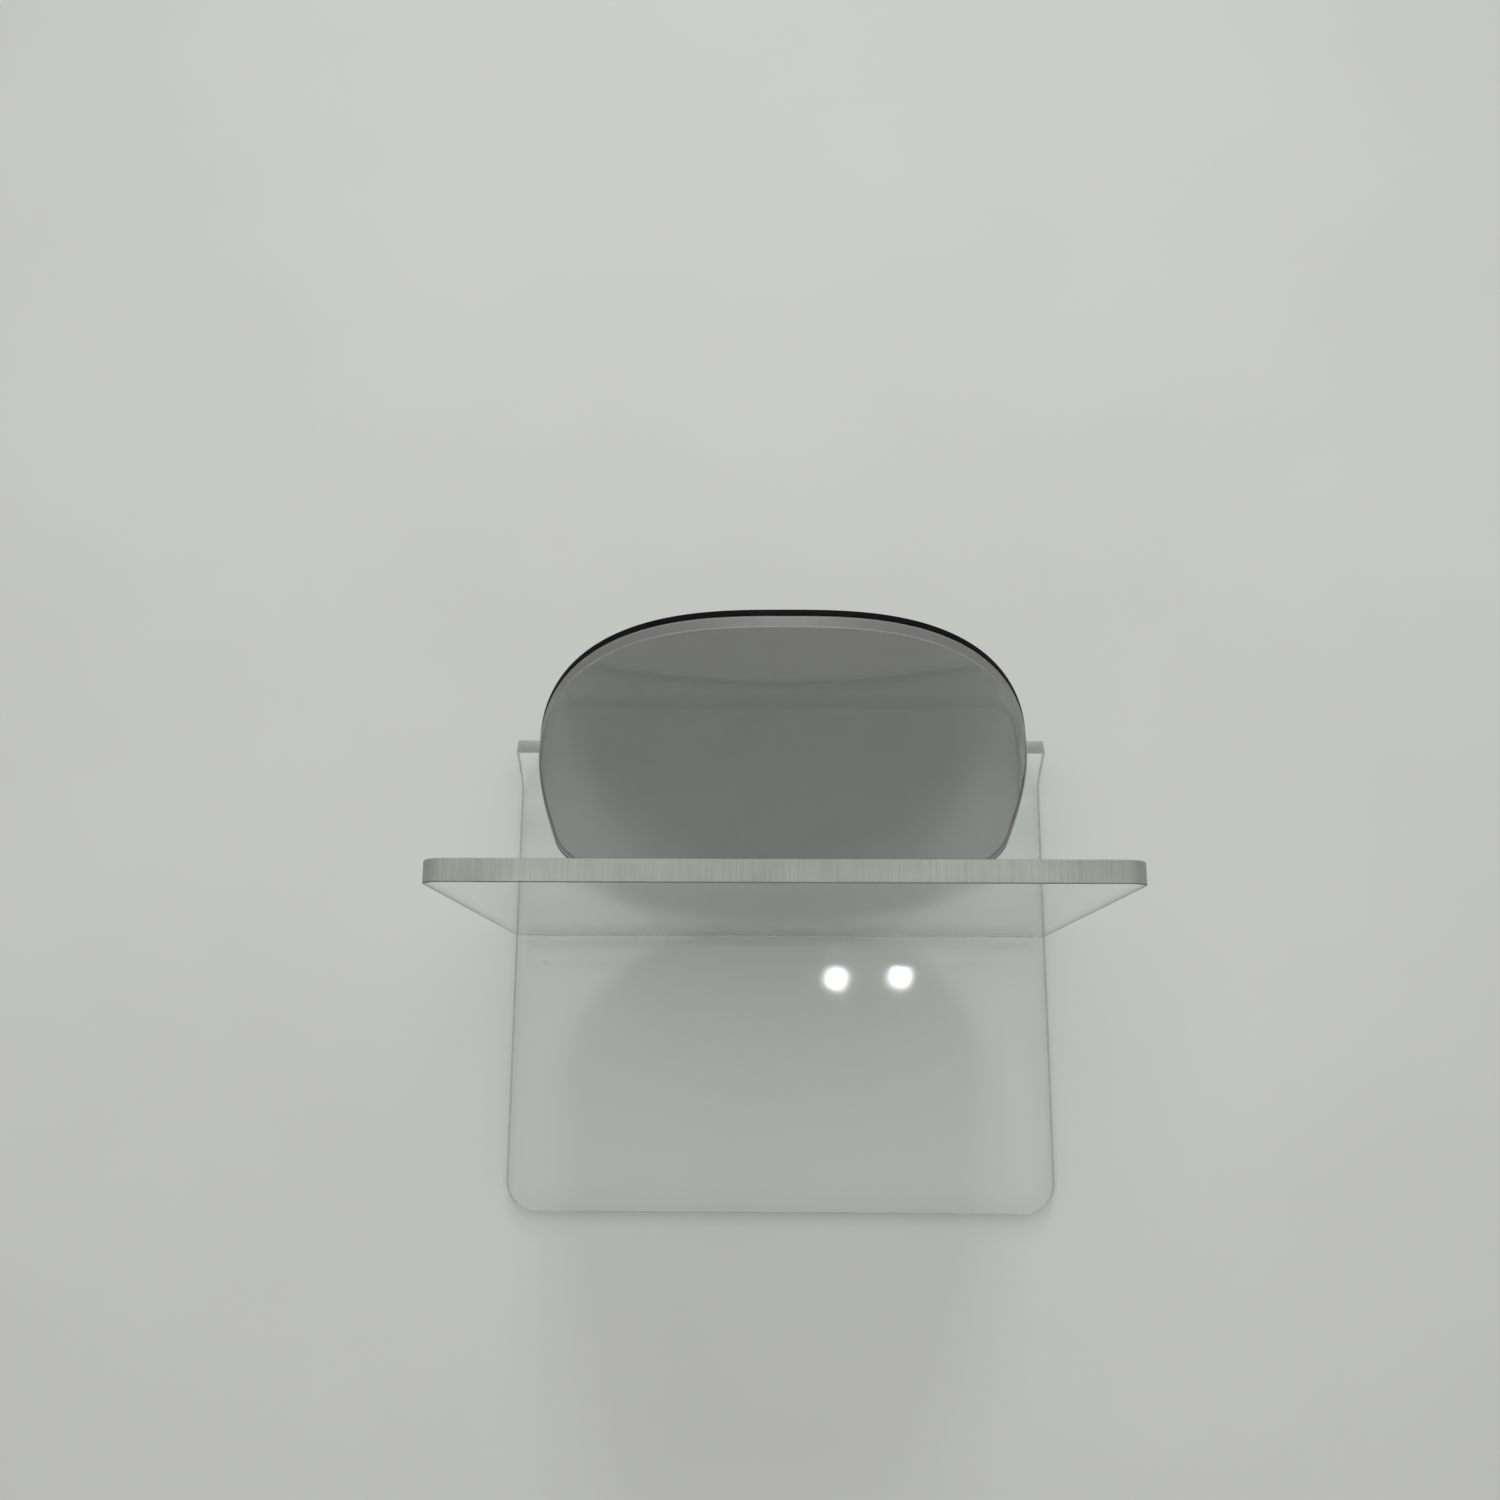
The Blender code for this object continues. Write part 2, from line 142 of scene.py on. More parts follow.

# Dust, silver with its painted reflection, board, steel, and table with its painted glow
DUST_ON_CLEAR = (0.55, 0.55, 0.53)
DUST_ON_BOARD = (0.16, 0.16, 0.15)
# Painted reflection: levels below the bow level over which the silver turns from its paler foot to its upper
# tint
SILVER_PAINTED_REFLECTION_FADE = (-0.085, -0.015)
SILVER_ROUGHNESS = (0.035, 0.05)
BOARD_ROUGHNESS = (0.58, 0.75)
BOARD_CONTRAST = 1.9
BOARD_GLOSS = 0.08
STEEL_ROUGHNESS = (0.22, 0.38)
STEEL_CONTRAST = 0.82
TABLE_ROUGHNESS = 0.6
TABLE_CONTRAST = 1.04
TABLE_GLOSS = 0.2
TABLE_WEAR_SCALE = 9.0
TABLE_WEAR_LEVELS = (0.35, 0.75)
TABLE_PAINTED_GLOW_REACH = (0.8, 1.8)
TABLE_PAINTED_GLOW = 0.10
TABLE_REACH = 6

# Camera and surroundings
SENSOR_WIDTH = 36
NEAR_CLIP = 0.01
SURROUND_TINT = (1.0, 1.0, 0.99)

# Lamps: place, outline, size, the setting that holds the power, and whether glass and metal show them
LAMPS = {
    "ceiling lamp": ((0.0, 0.32, 0.95), "SQUARE", 0.7, "ceiling", False),
    "window lamp": ((0.05, 2.2, 1.6), "SQUARE", 0.4, "window", True),
    "left bulb": ((0.11, 0.125, 2.0), "DISK", 0.035, "bulbs", True),
    "right bulb": ((0.22, 0.130, 2.0), "DISK", 0.035, "bulbs", True),
}


def length(name, description, default):
    return FloatProperty(
        name=name, description=description, default=default, min=0.0, max=1.0, precision=5, unit="LENGTH"
    )


def angle(name, description, degrees):
    return FloatProperty(
        name=name, description=description, default=math.radians(degrees), subtype="ANGLE", unit="ROTATION"
    )


def colour(name, description, default):
    return FloatVectorProperty(
        name=name, description=description, default=default, size=3, min=0.0, max=1.0, subtype="COLOR"
    )


def amount(name, description, default, largest=1.0):
    return FloatProperty(name=name, description=description, default=default, min=0.0, max=largest)


class SheetSizes(bpy.types.PropertyGroup):
    """Sizes of the clear sheet that the tray and the panel are made of."""

    sheet: length("Sheet", "Thickness of the clear sheet", 0.006)
    width: length("Width", "Width of the tray and the panel", TRAY_HIGH.x - TRAY_LOW.x)
    channel: length("Channel", "From the panel's rear face to the start of the rear bend", 0.0444)
    tray_corner: length("Tray corner", "Radius of the tray's front corners", 0.010)
    panel_corner: length("Panel corner", "Radius of the panel's upper corners", 0.006)
    lip_angle: angle("Lip angle", "How far the rear lip is bent up", 58)
    lip_bend: length("Lip bend", "Radius on the upper side of the rear bend", 0.004)
    lip_length: length("Lip length", "Straight part of the lip after the bend", 0.0135)
    edge_break: length("Edge break", "Width of the small bevel on the panel's rims and the lip's end", 0.0004)
    tray_round: length("Tray rim", "Radius of the softly rounded rims of the tray", 0.0027)
    cement: length("Cement", "Clearance between cemented faces", 0.00003)
    bead: length("Bead", "Leg of the cement bead along the panel's foot", 0.0014)
    bead_inset: length("Bead inset", "From the tray's side edges to the bead's ends", 0.004)


class MirrorSizes(bpy.types.PropertyGroup):
    """Sizes of the mirror's three layers, measured along the leaning mirror."""

    tilt: angle("Tilt", "How far the mirror leans back from upright", 15)
    width: length("Width", "Greatest width of the mirror", PANE_HIGH.x - PANE_LOW.x)
    widest: length("Widest level", "From the lowest point to the widest level", 0.050)
    upper_squareness: amount("Upper squareness", "Exponent of the outline above the widest level", 2.8, 8)
    lower_squareness: amount("Lower squareness", "Exponent of the outline below the widest level", 2.0, 8)
    pane: length("Pane", "Thickness of the clear front layer", 0.003)
    film: length("Film", "Thickness of the reflecting layer", 0.0002)
    backing: length("Backing", "Thickness of the backing board", 0.0015)
    gap: length("Layer gap", "Between neighbouring layers", 0.0001)
    edge_break: length("Edge break", "Width of the small bevel round the pane", 0.00018)
    bow: amount("Bow", "How fast the silver's slope grows towards the sides, per square metre", 8.0, 20)
    bow_lean: amount("Bow lean", "Slope of the silver down its middle", 0.015)
    bow_level: length("Bow level", "Height along the mirror where the bow changes sides", 0.140)


class StrutSizes(bpy.types.PropertyGroup):
    """Sizes of the easel strut and its hinge."""

    board: length("Board", "Thickness of the strut", 0.0025)
    top_width: length("Top width", "Width of the strut below the hinge", 0.034)
    foot_width: length("Foot width", "Width of the strut at its foot", 0.056)
    corner: length("Corner", "Radius of the strut's corners", 0.003)
    foot_standoff: length("Foot standoff", "From the rear bend to the middle of the strut's foot", 0.0018)
    rest_gap: length("Rest gap", "Under the foot that stands on the tray", 0.0003)
    hinge_height: length("Hinge height", "From the mirror's lowest point to the pin", 0.105)
    hinge_width: length("Hinge width", "Width of the leaf on the backing", 0.040)
    metal: length("Metal", "Thickness of the hinge's sheet steel", 0.0008)
    knuckle: length("Knuckle", "Outer radius of the knuckles", 0.0022)
    pin: length("Pin", "Radius of the hinge pin", 0.001)
    pin_clearance: length("Pin clearance", "Between the pin and the knuckles", 0.00008)
    pin_end: length("Pin end", "How far the pin stands out of the knuckles", 0.0006)
    knuckle_gap: length("Knuckle gap", "Between neighbouring knuckles", 0.0003)
    leaf_knuckle: length("Leaf knuckle", "Length of the strut's own knuckle", 0.014)
    plate_height: length("Plate height", "From the pin to the top of the leaf on the backing", 0.020)
    leaf_width: length("Leaf width", "Width of the leaf on the strut", 0.028)
    leaf_length: length("Leaf length", "Length of the leaf on the strut", 0.021)
    hinge_corner: length("Hinge corner", "Radius of the leaves' corners", 0.002)
    shoulder: length("Shoulder", "From the knuckles to what turns past them", 0.0008)


class RivetSizes(bpy.types.PropertyGroup):
    """Sizes of the rivets that hold the hinge."""

    shank: length("Shank", "Radius of the shank", 0.0012)
    head_radius: length("Head radius", "Radius of the domed head", 0.0024)
    head_height: length("Head height", "Height of the domed head", 0.0009)
    tail_radius: length("Tail radius", "Radius of the flattened tail", 0.0019)
    tail_height: length("Tail height", "Height of the flattened tail", 0.0004)
    edge: length("Edge", "From a rivet's axis to the nearest edges of its leaf", 0.005)
    seat: length("Seat", "Clearance under the head and the tail", 0.0001)
    segments: IntProperty(name="Segments", description="Divisions round a rivet", default=32, min=8, max=96)


class FinishColours(bpy.types.PropertyGroup):
    """Colours of the finishes."""

    clear: colour("Clear sheet", "Tint of the polished clear sheet", (0.99, 0.995, 0.99))
    clear_depth: colour("Clear depth", "Tint that builds up through the clear sheet", (0.86, 0.94, 0.875))
    cut_edge: colour("Cut edge", "Tint of the sheet's cut edges", (0.64, 0.645, 0.60))
    cement: colour("Cement", "Tint of the dried cement", (0.97, 0.98, 0.97))
    pane: colour("Pane", "Tint of the mirror's clear front", (0.965, 0.97, 0.97))
    pane_edge: colour("Pane edge", "Tint of the clear front's cut edge", (0.40, 0.405, 0.40))
    # Painted highlight: the bevel is real and polished, and its pale tint stands in for the light that it
    # catches
    pane_rim: colour("Pane rim", "Tint of the small bevel round the clear front", (0.7, 0.705, 0.7))
    silver: colour("Silver", "Colour of the reflecting layer in its upper part", (0.375, 0.371, 0.381))
    # Painted reflection: the paler foot colour stands in for lighter surroundings seen in the mirror
    silver_foot: colour("Silver foot", "Colour of the reflecting layer towards its foot", (0.58, 0.574, 0.59))
    board: colour("Board", "Colour of the black board", (0.0035, 0.0035, 0.0038))
    steel: colour("Steel", "Colour of the plated steel", (0.62, 0.61, 0.58))
    table: colour("Table", "Colour of the table top", (0.645, 0.655, 0.628))


class StudioSettings(bpy.types.PropertyGroup):
    """Camera, lamps and surroundings."""

    camera_place: FloatVectorProperty(
        name="Camera place",
        description="Where the camera stands",
        default=(-0.00316, -0.03333, 0.49333),
        unit="LENGTH",
    )
    camera_turn: FloatVectorProperty(
        name="Camera turn",
        description="How the camera is turned from straight down",
        default=(math.radians(12.762), math.radians(0.798), math.radians(0.273)),
        subtype="EULER",
        unit="ROTATION",
    )
    lens: FloatProperty(name="Lens", description="Focal length in millimetres", default=34.2, min=10, max=200)
    surround: amount("Surround", "Brightness of the even light from all round", 0.35, 4)
    ceiling: amount("Ceiling", "Power of the wide lamp overhead and behind, in watts", 4.7, 100)
    window: amount("Window", "Power of the smaller lamp behind, in watts", 13.0, 100)
    bulbs: amount("Bulbs", "Power of each of the two small lamps overhead, in watts", 0.12, 100)


def opaque(tint):
    return (*tint, 1)


def toned(tint, factor):
    """Tint made darker or paler by a factor."""
    return tuple(min(1.0, factor * part) for part in tint)


class Wiring:
    """A short way to add nodes to one tree and to join them."""

    def __init__(self, tree):
        self.tree = tree

    def feed(self, socket, value):
        if isinstance(value, bpy.types.NodeSocket):
            self.tree.links.new(value, socket)
        else:
            socket.default_value = value

    def node(self, kind, inputs=None, **settings):
        made = self.tree.nodes.new(kind)
        for setting, value in settings.items():
            setattr(made, setting, value)
        self.fill(made, inputs or {})
        return made

    def fill(self, made, inputs):
        for key, value in inputs.items():
            self.feed(made.inputs[key], value)

    def maths(self, operation, *values):
        made = self.node("ShaderNodeMath", operation=operation)
        for socket, value in zip(made.inputs, values):
            self.feed(socket, value)
        return made.outputs[0]

    def times(self, first, second, plus=None):
        """Product of two values, with a third one added where it is given."""
        if plus is None:
            return self.maths("MULTIPLY", first, second)
        return self.maths("MULTIPLY_ADD", first, second, plus)

    def noise(self, vector, scale, detail=2.0, roughness=0.5):
        inputs = {"Vector": vector, "Scale": scale, "Detail": detail, "Roughness": roughness}
        return self.node("ShaderNodeTexNoise", inputs).outputs["Fac"]

    def scaled(self, vector, scale):
        inputs = {"Vector": vector, "Scale": scale}
        return self.node("ShaderNodeVectorMath", inputs, operation="SCALE").outputs["Vector"]

    def stretched(self, vector, scale, turn=(0, 0, 0)):
        made = self.node("ShaderNodeMapping", {"Vector": vector, "Scale": scale, "Rotation": turn})
        return made.outputs["Vector"]

    def remap(self, value, low, high, to_low=0.0, to_high=1.0):
        inputs = {"Value": value, "From Min": low, "From Max": high, "To Min": to_low, "To Max": to_high}
        return self.node("ShaderNodeMapRange", inputs).outputs["Result"]

    def blend(self, factor, first, second):
        made = self.node("ShaderNodeMix", data_type="RGBA")
        self.feed(made.inputs["Factor"], factor)
        colours = [socket for socket in made.inputs if socket.type == "RGBA"]
        self.feed(colours[0], first)
        self.feed(colours[1], second)
        return next(socket for socket in made.outputs if socket.type == "RGBA")

    def axes(self, vector):
        return self.node("ShaderNodeSeparateXYZ", {"Vector": vector}).outputs

    def point(self, **parts):
        return self.node("ShaderNodeCombineXYZ", parts).outputs["Vector"]

    def sideways(self):
        """How far a face looks to the left or the right, from 0 to 1."""
        normal = self.node("ShaderNodeNewGeometry").outputs["Normal"]
        return self.maths("ABSOLUTE", self.axes(normal)["X"])

    def shape(self, kind, inputs, **settings):
        """Geometry node. Gives its first output."""
        return self.node("GeometryNode" + kind, inputs, **settings).outputs[0]


def new_group(name, inputs, outputs):
    """Shader node group with float sockets, apart from Vector. Gives its wiring and its two ends."""
    tree = bpy.data.node_groups.new(name, "ShaderNodeTree")
    for socket, default in inputs.items():
        kind = "NodeSocketVector" if socket == "Vector" else "NodeSocketFloat"
        made = tree.interface.new_socket(name=socket, in_out="INPUT", socket_type=kind)
        if default is not None:
            made.default_value = default
    for socket in outputs:
        tree.interface.new_socket(name=socket, in_out="OUTPUT", socket_type="NodeSocketFloat")
    wiring = Wiring(tree)
    return wiring, wiring.node("NodeGroupInput").outputs, wiring.node("NodeGroupOutput").inputs


def make_scratch_group():
    """Faint hairline scratches in two directions, in patches."""
    inputs = {"Vector": None, "Scale": 1.0, "Amount": 1.0}
    wiring, given, result = new_group("Hairline scratches", inputs, ["Mask"])
    vector = wiring.scaled(given["Vector"], given["Scale"])
    lines = []
    for turn in SCRATCH_TURNS:
        along = wiring.stretched(vector, SCRATCH_STRETCH, (turn, turn, turn))
        lines.append(wiring.remap(wiring.noise(along, 1.0, detail=1.0), *SCRATCH_LEVELS))
    patches = wiring.remap(wiring.noise(vector, SCRATCH_PATCHES, detail=1.0), *PATCH_LEVELS)
    mask = wiring.times(wiring.maths("MAXIMUM", *lines), patches)
    wiring.feed(result["Mask"], wiring.times(mask, given["Amount"]))
    return wiring.tree


def make_dust_group():
    """Sparse small specks of dust."""
    inputs = {"Vector": None, "Scale": 90.0, "Size": 0.1, "Few": 0.86}
    wiring, given, result = new_group("Dust specks", inputs, ["Mask"])
    inputs = {"Vector": given["Vector"], "Scale": given["Scale"], "Randomness": 1.0}
    cells = wiring.node("ShaderNodeTexVoronoi", inputs, feature="F1")
    speck = wiring.maths("LESS_THAN", cells.outputs["Distance"], given["Size"])
    parts = wiring.node("ShaderNodeSeparateColor", {"Color": cells.outputs["Color"]})
    few = wiring.maths("GREATER_THAN", parts.outputs["Red"], given["Few"])
    wiring.feed(result["Mask"], wiring.times(speck, few))
    return wiring.tree


def make_saw_group():
    """Fine marks across a cut edge, with slower waves from the tool."""
    wiring, given, result = new_group("Saw marks", {"Vector": None, "Scale": 1.0}, ["Height", "Shade"])
    vector = wiring.scaled(given["Vector"], given["Scale"])
    lines = [wiring.noise(wiring.stretched(vector, stretch), 1.0) for stretch in SAW_STRETCHES]
    turned = wiring.maths("GREATER_THAN", wiring.sideways(), SAW_TURN)
    fine = wiring.remap(turned, 0.0, 1.0, *lines)
    slow = wiring.noise(vector, SAW_WAVES)
    wiring.feed(result["Height"], wiring.times(slow, SAW_WAVE_HEIGHT, fine))
    shade = wiring.times(slow, SAW_WAVE_SHADE, fine)
    wiring.feed(result["Shade"], wiring.remap(shade, *SAW_LEVELS))
    return wiring.tree


def make_grain_group():
    """Fine pressed grain of board and brushed metal, stretched by its own input."""
    inputs = {"Vector": None, "Scale": 900.0, "Stretch": 1.0}
    wiring, given, result = new_group("Fine grain", inputs, ["Height", "Shade"])
    inputs = {0: given["Vector"], 1: wiring.point(X=given["Stretch"], Y=1.0, Z=1.0)}
    vector = wiring.node("ShaderNodeVectorMath", inputs, operation="MULTIPLY").outputs["Vector"]
    wiring.feed(result["Height"], wiring.noise(vector, given["Scale"], detail=3.0, roughness=0.6))
    coarse = wiring.noise(vector, wiring.times(given["Scale"], COARSE_GRAIN), detail=3.0)
    wiring.feed(result["Shade"], wiring.remap(coarse, *GRAIN_LEVELS))
    return wiring.tree


def place_group(wiring, effect, vector, **values):
    """One of the shared effects with values of its own. Gives its outputs."""
    made = wiring.node("ShaderNodeGroup", node_tree=GROUPS[effect])
    wiring.feed(made.inputs["Vector"], vector)
    for name, value in values.items():
        made.inputs[name.title()].default_value = value
    return made.outputs


def new_material(name):
    """Empty node material. Gives the material, its wiring, its shader and Object coordinates."""
    material = bpy.data.materials.new(name)
    material.use_nodes = True
    wiring = Wiring(material.node_tree)
    coordinates = wiring.node("ShaderNodeTexCoord").outputs["Object"]
    return material, wiring, material.node_tree.nodes["Principled BSDF"], coordinates


def bump(wiring, shader, height, strength, distance):
    inputs = {"Height": height, "Strength": strength, "Distance": distance}
    wiring.feed(shader.inputs["Normal"], wiring.node("ShaderNodeBump", inputs).outputs["Normal"])


def new_glass(name, shade, deep, through=1.0):
    """Clear material that leaves only a light tint in its shadow. A deep tint grows with its thickness."""
    material, wiring, shader, coordinates = new_material(name)
    wiring.fill(shader, {"Transmission Weight": through, "IOR": CLEAR_INDEX, "Metallic": 0.0})
    clear = wiring.node("ShaderNodeBsdfTransparent", {"Color": opaque(shade)}).outputs["BSDF"]
    path = wiring.node("ShaderNodeLightPath").outputs
    surface = shader.outputs["BSDF"]
    for ray in ("Is Shadow Ray", "Is Diffuse Ray"):
        inputs = {0: path[ray], 1: surface, 2: clear}
        surface = wiring.node("ShaderNodeMixShader", inputs).outputs["Shader"]
    ends = {"Surface": surface}
    if deep:
        inputs = {"Color": opaque(deep), "Density": CLEAR_DENSITY}
        ends["Volume"] = wiring.node("ShaderNodeVolumeAbsorption", inputs).outputs["Volume"]
    wiring.fill(material.node_tree.nodes["Material Output"], ends)
    return material, wiring, shader, coordinates


def polished_face(name, tint, shade, deep=None, roughness=0.008):
    """Polished clear face with faint hairlines and a few specks of dust."""
    material, wiring, shader, coordinates = new_glass(name, shade, deep)
    dust = place_group(wiring, "dust", coordinates, scale=75.0, size=0.026, few=0.9)["Mask"]
    scratches = place_group(wiring, "scratches", coordinates, scale=1.0, amount=0.5)["Mask"]
    body = wiring.blend(dust, opaque(tint), opaque(DUST_ON_CLEAR))
    rough = wiring.times(scratches, SCRATCH_MATTE, roughness)
    wiring.fill(shader, {"Base Color": body, "Roughness": wiring.times(dust, DUST_MATTE, rough)})
    return material


def cut_face(name, tint, shade, deep=None, roughness=0.3, marks=0.35, through=0.6, contrast=0.78, ends=1.0):
    """Cut edge of clear sheet, half polished, with the marks of the saw. Its sideways ends can get painted
    shade.
    """
    material, wiring, shader, coordinates = new_glass(name, shade, deep, through)
    saw = place_group(wiring, "saw", coordinates, scale=1.0)
    darker = toned(tint, contrast)
    body = wiring.blend(saw["Shade"], opaque(tint), opaque(darker))
    # Painted shade: faces that look to the left or the right are darkened by the ends factor
    if ends < 1:
        turned = wiring.remap(wiring.sideways(), *PAINTED_SIDE_SHADE_TURNS)
        body = wiring.blend(turned, body, opaque(toned(darker, ends)))
    wiring.fill(shader, {"Base Color": body, "Roughness": wiring.times(saw["Shade"], SAW_MATTE, roughness)})
    bump(wiring, shader, saw["Height"], strength=marks, distance=SAW_DEPTH)
    return material


def silver_material(name, tint, painted_foot_reflection, mirror):
    """Grey reflecting layer, slightly bowed as thin mirror sheet is. Its colour grows paler towards its foot,
    a painted reflection of lighter surroundings.
    """
    material, wiring, shader, coordinates = new_material(name)
    spot = wiring.axes(coordinates)
    deep = wiring.times(spot["Y"], math.sin(mirror.tilt))
    level = wiring.times(spot["Z"], math.cos(mirror.tilt), deep)
    level = wiring.maths("SUBTRACT", level, mirror.bow_level)
    slope = wiring.times(wiring.times(spot["X"], spot["X"]), mirror.bow)
    slope = wiring.maths("ADD", slope, mirror.bow_lean)
    bump(wiring, shader, wiring.times(slope, level), strength=1.0, distance=1.0)
    # Painted reflection: the colour fades from the paler foot tint up to the upper tint
    body = wiring.blend(wiring.remap(level, *SILVER_PAINTED_REFLECTION_FADE), opaque(painted_foot_reflection), opaque(tint))
    grain = place_group(wiring, "grain", coordinates, scale=60.0, stretch=1.0)
    rough = wiring.remap(grain["Shade"], 0.0, 1.0, *SILVER_ROUGHNESS)
    wiring.fill(shader, {"Base Color": body, "Metallic": 1.0, "Roughness": rough})
    return material


def board_material(name, tint):
    """Black board with a fine matte grain and a little dust."""
    material, wiring, shader, coordinates = new_material(name)
    grain = place_group(wiring, "grain", coordinates, scale=1600.0, stretch=1.0)
    dust = place_group(wiring, "dust", coordinates, scale=160.0, size=0.06)["Mask"]
    body = wiring.blend(grain["Shade"], opaque(tint), opaque(toned(tint, BOARD_CONTRAST)))
    body = wiring.blend(dust, body, opaque(DUST_ON_BOARD))
    rough = wiring.remap(grain["Height"], *GRAIN_LEVELS, *BOARD_ROUGHNESS)
    wiring.fill(shader, {"Base Color": body, "Roughness": rough, "Specular IOR Level": BOARD_GLOSS})
    bump(wiring, shader, grain["Height"], strength=0.35, distance=BOARD_GRAIN_DEPTH)
    return material


def steel_material(name, tint):
    """Thin plated sheet steel with a soft brushed grain along the pin."""
    material, wiring, shader, coordinates = new_material(name)
    grain = place_group(wiring, "grain", coordinates, scale=2600.0, stretch=0.03)
    scratches = place_group(wiring, "scratches", coordinates, scale=2.5, amount=1.0)["Mask"]
    body = wiring.blend(grain["Shade"], opaque(tint), opaque(toned(tint, STEEL_CONTRAST)))
    rough = wiring.remap(grain["Height"], *GRAIN_LEVELS, *STEEL_ROUGHNESS)
    rough = wiring.times(scratches, STEEL_SCRATCH_MATTE, rough)
    wiring.fill(shader, {"Base Color": body, "Metallic": 1.0, "Roughness": rough})
    bump(wiring, shader, grain["Height"], strength=0.12, distance=STEEL_GRAIN_DEPTH)
    return material


def table_material(tint):
    """Pale table top with very faint wear, and a painted glow that lightens it far from the object to meet
    the surroundings.
    """
    material, wiring, shader, coordinates = new_material("pale table top")
    wear = wiring.remap(wiring.noise(coordinates, TABLE_WEAR_SCALE, detail=4.0), *TABLE_WEAR_LEVELS)
    body = wiring.blend(wear, opaque(tint), opaque(toned(tint, TABLE_CONTRAST)))
    wiring.fill(shader, {"Base Color": body, "Roughness": TABLE_ROUGHNESS, "Specular IOR Level": TABLE_GLOSS})
    # Painted glow: emission that grows with the distance from the object
    distance = wiring.node("ShaderNodeVectorMath", {0: coordinates}, operation="LENGTH").outputs["Value"]
    painted_glow = wiring.remap(distance, *TABLE_PAINTED_GLOW_REACH, 0.0, TABLE_PAINTED_GLOW)
    wiring.fill(shader, {"Emission Color": painted_glow, "Emission Strength": 1.0})
    return material


# The shared effects and the finished materials, by name
GROUPS = {}
FINISHES = {}


def make_finishes(colours, mirror):
    """All of the object's materials, made once."""
    GROUPS.update(
        scratches=make_scratch_group(), dust=make_dust_group(), saw=make_saw_group(), grain=make_grain_group()
    )
    tints = {name: tuple(getattr(colours, name)) for name in FinishColours.__annotations__}
    clear, deep, cut = tints["clear"], tints["clear_depth"], tints["cut_edge"]
    edge, rim = tints["pane_edge"], tints["pane_rim"]
    smooth = {"marks": 0.05, "contrast": 0.95}
    FINISHES["clear"] = polished_face("clear sheet face", clear, CLEAR_SHADE, deep, roughness=0.04)
    FINISHES["cut"] = cut_face("clear sheet cut edge", cut, CUT_SHADE, deep)
    # The panel's cut edge gets painted shade where it turns sideways round its upper corners
    FINISHES["panel_cut"] = cut_face("clear panel cut edge", cut, CUT_SHADE, deep, ends=0.72)
    FINISHES["rim"] = cut_face("clear sheet rounded rim", clear, RIM_SHADE, deep, through=0.75, **smooth)
    FINISHES["cement"] = polished_face("dried cement", tints["cement"], CEMENT_SHADE, roughness=0.05)
    FINISHES["pane"] = polished_face("mirror front face", tints["pane"], PANE_SHADE)
    FINISHES["pane_cut"] = cut_face("mirror front cut edge", edge, PANE_CUT_SHADE, roughness=0.35, **smooth)
    FINISHES["pane_rim"] = cut_face("mirror front rim", rim, PANE_RIM_SHADE, through=0.5, **smooth)
    FINISHES["silver"] = silver_material("silvered layer", tints["silver"], tints["silver_foot"], mirror)
    FINISHES["board"] = board_material("black board", tints["board"])
    FINISHES["steel"] = steel_material("plated steel", tints["steel"])


def arc(centre, radius, start, end, steps):
    points = []
    for step in range(steps + 1):
        turn = start + (end - start) * step / steps
        points.append((centre[0] + radius * math.cos(turn), centre[1] + radius * math.sin(turn)))
    return points


def rounded(corners):
    """Outline through (x, y, radius) corners, each rounded by an arc that touches both of its sides."""
    points = []
    count = len(corners)
    for i, (x, y, radius) in enumerate(corners):
        if radius == 0:
            points.append((x, y))
            continue
        before, after = corners[i - 1], corners[(i + 1) % count]
        into = math.atan2(y - before[1], x - before[0])
        out = math.atan2(after[1] - y, after[0] - x)
        turn = math.remainder(out - into, 2 * math.pi)
        reach = radius * math.tan(abs(turn) / 2)
        side = math.copysign(UPRIGHT, turn)
        start = (x - reach * math.cos(into), y - reach * math.sin(into))
        centre = (start[0] + radius * math.cos(into + side), start[1] + radius * math.sin(into + side))
        points += arc(centre, radius, into - side, into - side + turn, CORNER_STEPS)
    return points


def draft_from(name, shape, materials):
    """Object of a bmesh shape, for modifiers to work on."""
    bmesh.ops.recalc_face_normals(shape, faces=shape.faces)
    mesh = bpy.data.meshes.new(name)
    shape.to_mesh(mesh)
    shape.free()
    mesh.shade_smooth()
    for material in materials:
        mesh.materials.append(material)
    draft = bpy.data.objects.new(name, mesh)
    bpy.context.scene.collection.objects.link(draft)
    return draft


def bridge(shape, first, second):
    """Strip of faces between two rings of corners."""
    faces = []
    for i in range(len(first)):
        j = (i + 1) % len(first)
        faces.append(shape.faces.new((first[i], first[j], second[j], second[i])))
    return faces


def slab(name, outline, low, high, materials):
    """Flat outline in XY between two levels of Z. Its walls take the second material where there is one."""
    shape = bmesh.new()
    lower, upper = ([shape.verts.new((x, y, level)) for x, y in outline] for level in (low, high))
    shape.faces.new(upper)
    shape.faces.new(lower[::-1])
    for wall in bridge(shape, lower, upper):
        wall.material_index = len(materials) - 1
    return draft_from(name, shape, materials)


def round_rims(draft, width, segments, material=-1, limit="ANGLE"):
    bevel = draft.modifiers.new("rims", "BEVEL")
    bevel.width = width
    bevel.segments = segments
    bevel.limit_method = limit
    bevel.angle_limit = RIM_ANGLE
    bevel.material = material


def break_edges(draft, width):
    """Takes the sharpness off the rims, and keeps the broad faces flat in the shading."""
    round_rims(draft, width, BREAK_STEPS)
    flat = draft.modifiers.new("flat faces", "WEIGHTED_NORMAL")
    flat.weight = 100


